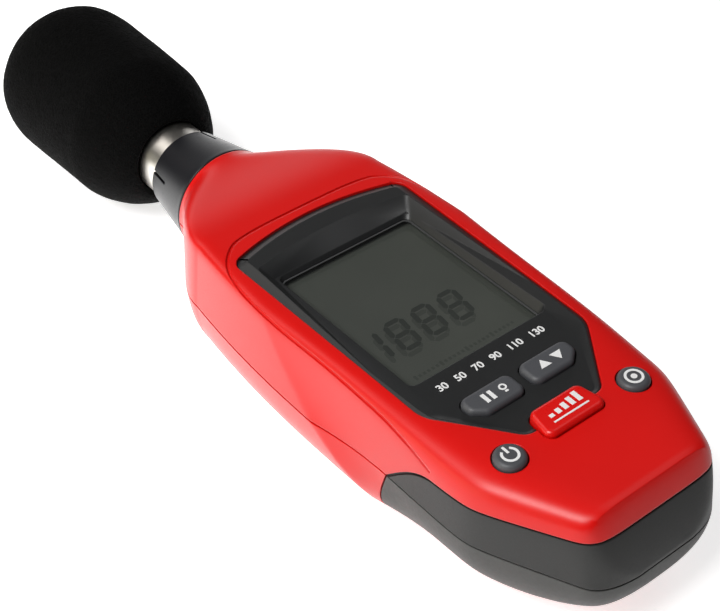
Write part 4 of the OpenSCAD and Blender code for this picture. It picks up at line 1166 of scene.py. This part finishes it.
def foamProfile():
    # mouth, swelling lower end, slightly conical side and rounded tip, then back down the bore
    y0, y1, tipR = foam["y0"], foam["y0"] + foam["length"], foam["tipR"]
    start = foam["boreR"] + foam["lip"]
    mouthIn, mouthUp = foam["mouth"]
    outline = [(foam["boreR"], y0 + foam["lip"]), (start - mouthIn, y0 + mouthUp), (start, y0)]
    for c in np.cos(np.linspace(0, 1, foam["lowSteps"])[1:] * rightAngle):
        swell = (1 - c ** foam["lowN"]) ** (1 / foam["lowN"])
        outline.append((mixed(start, foam["lowR"], swell), y0 + foam["lowLen"] * (1 - c)))
    sideY, tipY = y0 + foam["lowLen"], y1 - foam["tipLen"]
    for u in np.linspace(0, 1, foam["sideSteps"])[1:-1]:
        outline.append((mixed(foam["lowR"], foam["fullR"], u), mixed(sideY, tipY, u)))
    for u in np.sin(np.linspace(0, rightAngle, foam["tipSteps"])):
        radius = foam["fullR"] * (1 - u ** foam["tipN"]) ** (1 / foam["tipN"])
        outline.append((radius, y1 - foam["tipLen"] * (1 - u)))
    outline[-1] = (tipR, y1)
    (low, high), end = foam["shoulder"], foam["boreEnd"]
    return outline + [(tipR, end), (foam["tipBoreR"], end), (foam["tipBoreR"], high), (foam["boreR"], low)]


def vertexValues(mesh, label):
    values = np.empty(len(mesh.vertices) * 3)
    mesh.vertices.foreach_get(label, values)
    return values.reshape(-1, 3)


def makeWindscreen():
    piece = turned("windscreen_foam", foamProfile(), axisZ, foam["steps"])
    co = vertexValues(piece.data, "co") / mm
    radius = np.hypot(co[:, 0], co[:, 2] - axisZ)
    inBore = (radius < foam["boreR"] + foam["skin"]) & (co[:, 1] < foam["boreEnd"] + foam["skinEnd"])
    pits = np.clip(1 - poreDepth(co, foam["pore"]) / foam["poreReach"], 0, 1) ** foam["poreN"]
    lumps = softNoise(co, foam["lump"]) + foam["rippleShare"] * softNoise(co, foam["ripple"])
    depth = -foam["poreDeep"] * pits + foam["lumpDeep"] * (lumps - foam["lumpSink"])
    depth[inBore] = 0
    co += vertexValues(piece.data, "normal") * depth[:, None]
    piece.data.vertices.foreach_set("co", (co * mm).ravel())
    piece.data.update()
    softShade(piece, foam["crease"])
    settle(piece, "windscreen", paint["foamBlack"], "foam", "windscreen")
    return piece


makeWindscreen()
print("microphone dressed")

# battery door

door = {"low": -0.5, "headR": 2.05, "headZ": 1.8, "shankR": 1.15, "shankZ": 5.0,
        "ribs": 5, "ribPitch": 2.4, "ribDrop": 2.5, "ribHalf": 8.1, "ribW": 1.0, "ribDeep": 0.6}


def makeDoor():
    piece = prism("door", doorOutline(), door["low"], bay["doorT"])
    carve(piece, prism("tab", tabOutline(), door["low"], bay["doorT"]), "UNION")
    carve(piece, caseLoft("doorCrown", -1), "INTERSECT")
    carve(piece, backCylinder("shankHole", (0, tabY), door["shankR"], door["shankZ"]))
    carve(piece, backCylinder("headHole", (0, tabY), door["headR"], door["headZ"]))
    half = door["ribHalf"]
    for i in range(1, door["ribs"] + 1):
        y, w = doorTop - door["ribDrop"] - door["ribPitch"] * i, door["ribW"] / 2
        carve(piece, block("rib", (-half, y - w, belowBack), (half, y + w, door["ribDeep"])))
    softShade(piece, case["crease"])
    return settle(piece, "battery_door", paint["shellRed"], "shell", "battery_door")


makeDoor()
print("battery door made")

# solid-model pieces that keep their shape and get their finish here

nodePaint = {
    "display_window": "windowClear", "lcd_panel": "lcdGlass", "lcd_backlight": "diffuserMilk",
    "lcd_connectors": "siliconePink", "main_board": "boardGreen", "board_components": "chipBlack",
    "radio_module": "shieldTin", "key_switches": "switchGrey", "mic_sleeve": "nickel", "mic_grid": "nickel",
    "mic_capsule": "capsuleSatin", "mic_board": "boardGreen", "mic_leads": "leadRed",
    "door_screw": "steelZinc", "case_screws": "steelZinc", "board_screws": "steelZinc",
    "battery_cells": "cellSleeve", "battery_springs": "springPlate", "battery_plates": "springPlate",
    "tripod_insert": "brassTurned",
}
for nodeName, paintName in nodePaint.items():
    node = nodes[nodeName]
    node.data.materials.clear()
    node.data.materials.append(paint[paintName])
print("finishes given to", len(nodePaint), "nodes")

# floor, world and lamps

stage = {"floorZ": -3.0, "reach": 3000.0, "floorTone": 0.86, "floorRough": 0.9, "lift": 0.7,
         "sheenWay": (-1.0, 0.8, 0.0), "sheenFrom": (-150, 0.3), "sheenTo": (60, 1.6), "world": 0.06}
white = (1, 1, 1, 1)


def makeFloor():
    # the camera sees a lifted floor, and reflections see one that is brighter towards the lit side
    r = stage["reach"]
    floor = newObject("floor", flatRing(rectangle(-r, -r, r, r), stage["floorZ"]), [(0, 1, 2, 3)])
    material, tree, shader, place = blankMaterial("floorWhite", {
        "Base Color": (*[stage["floorTone"]] * 3, 1), "Roughness": stage["floorRough"],
        "Emission Color": white})
    rays = addNode(tree, "ShaderNodeLightPath")
    seen = addNode(tree, "ShaderNodeMath", {1: stage["lift"]}, operation="MULTIPLY")
    glow = addNode(tree, "ShaderNodeMath", operation="MULTIPLY_ADD")
    across = addNode(tree, "ShaderNodeVectorMath", {1: stage["sheenWay"]}, operation="DOT_PRODUCT")
    (dimAt, dim), (brightAt, bright) = stage["sheenFrom"], stage["sheenTo"]
    sheen = addNode(tree, "ShaderNodeMapRange", {
        "From Min": dimAt * mm, "From Max": brightAt * mm, "To Min": dim, "To Max": bright})
    wire(tree, (place, "Object", across, 0), (across, "Value", sheen, "Value"), (sheen, "Result", glow, 1),
         (rays, "Is Camera Ray", seen, 0), (rays, "Is Glossy Ray", glow, 0), (seen, "Value", glow, 2),
         (glow, "Value", shader, "Emission Strength"))
    floor.data.materials.append(material)


def makeWorld():
    world = bpy.data.worlds.new("studio")
    world.use_nodes = True
    scene.world = world
    tree = world.node_tree
    sky = tree.nodes["Background"]
    setSockets(sky, {"Color": white})
    rays = addNode(tree, "ShaderNodeLightPath")
    seen = addNode(tree, "ShaderNodeMath", operation="MAXIMUM")
    level = rangeTo(tree, stage["world"], 1.0)
    wire(tree, (rays, "Is Camera Ray", seen, 0), (rays, "Is Transmission Ray", seen, 1),
         (seen, "Value", level, "Value"), (level, "Result", sky, "Strength"))


lamps = {
    "keySoft": {"place": (-370, -70, 540), "aim": (0, -20, 20), "size": (300, 300), "power": 3.5},
    "leftSoft": {"place": (-600, 150, 150), "aim": (0, 0, 15), "size": (600, 250), "power": 1.0,
                 "tint": (1.0, 0.95, 0.74)},
    "backLeft": {"place": (-270, 500, 600), "aim": (0, -10, 20), "size": (440, 420), "power": 1.0,
                 "tint": (1.0, 0.96, 0.92)},
    "topRight": {"place": (340, -20, 650), "aim": (0, -10, 20), "size": (340, 340), "power": 0.34},
    "backSoft": {"place": (350, 700, 180), "aim": (0, 0, 20), "size": (700, 250), "power": 0.6},
}


def makeLamps():
    for name, look in lamps.items():
        data = bpy.data.lights.new(name, "AREA")
        data.shape = "RECTANGLE"
        data.size, data.size_y = look["size"][0] * mm, look["size"][1] * mm
        data.energy = look["power"]
        data.color = look.get("tint", white[:3])
        lamp = placed(name, data)
        lamp.location = Vector(look["place"]) * mm
        aim = Vector(look["aim"]) * mm - lamp.location
        lamp.rotation_euler = aim.to_track_quat("-Z", "Y").to_euler()


makeFloor()
makeWorld()
makeLamps()
print("stage lit")
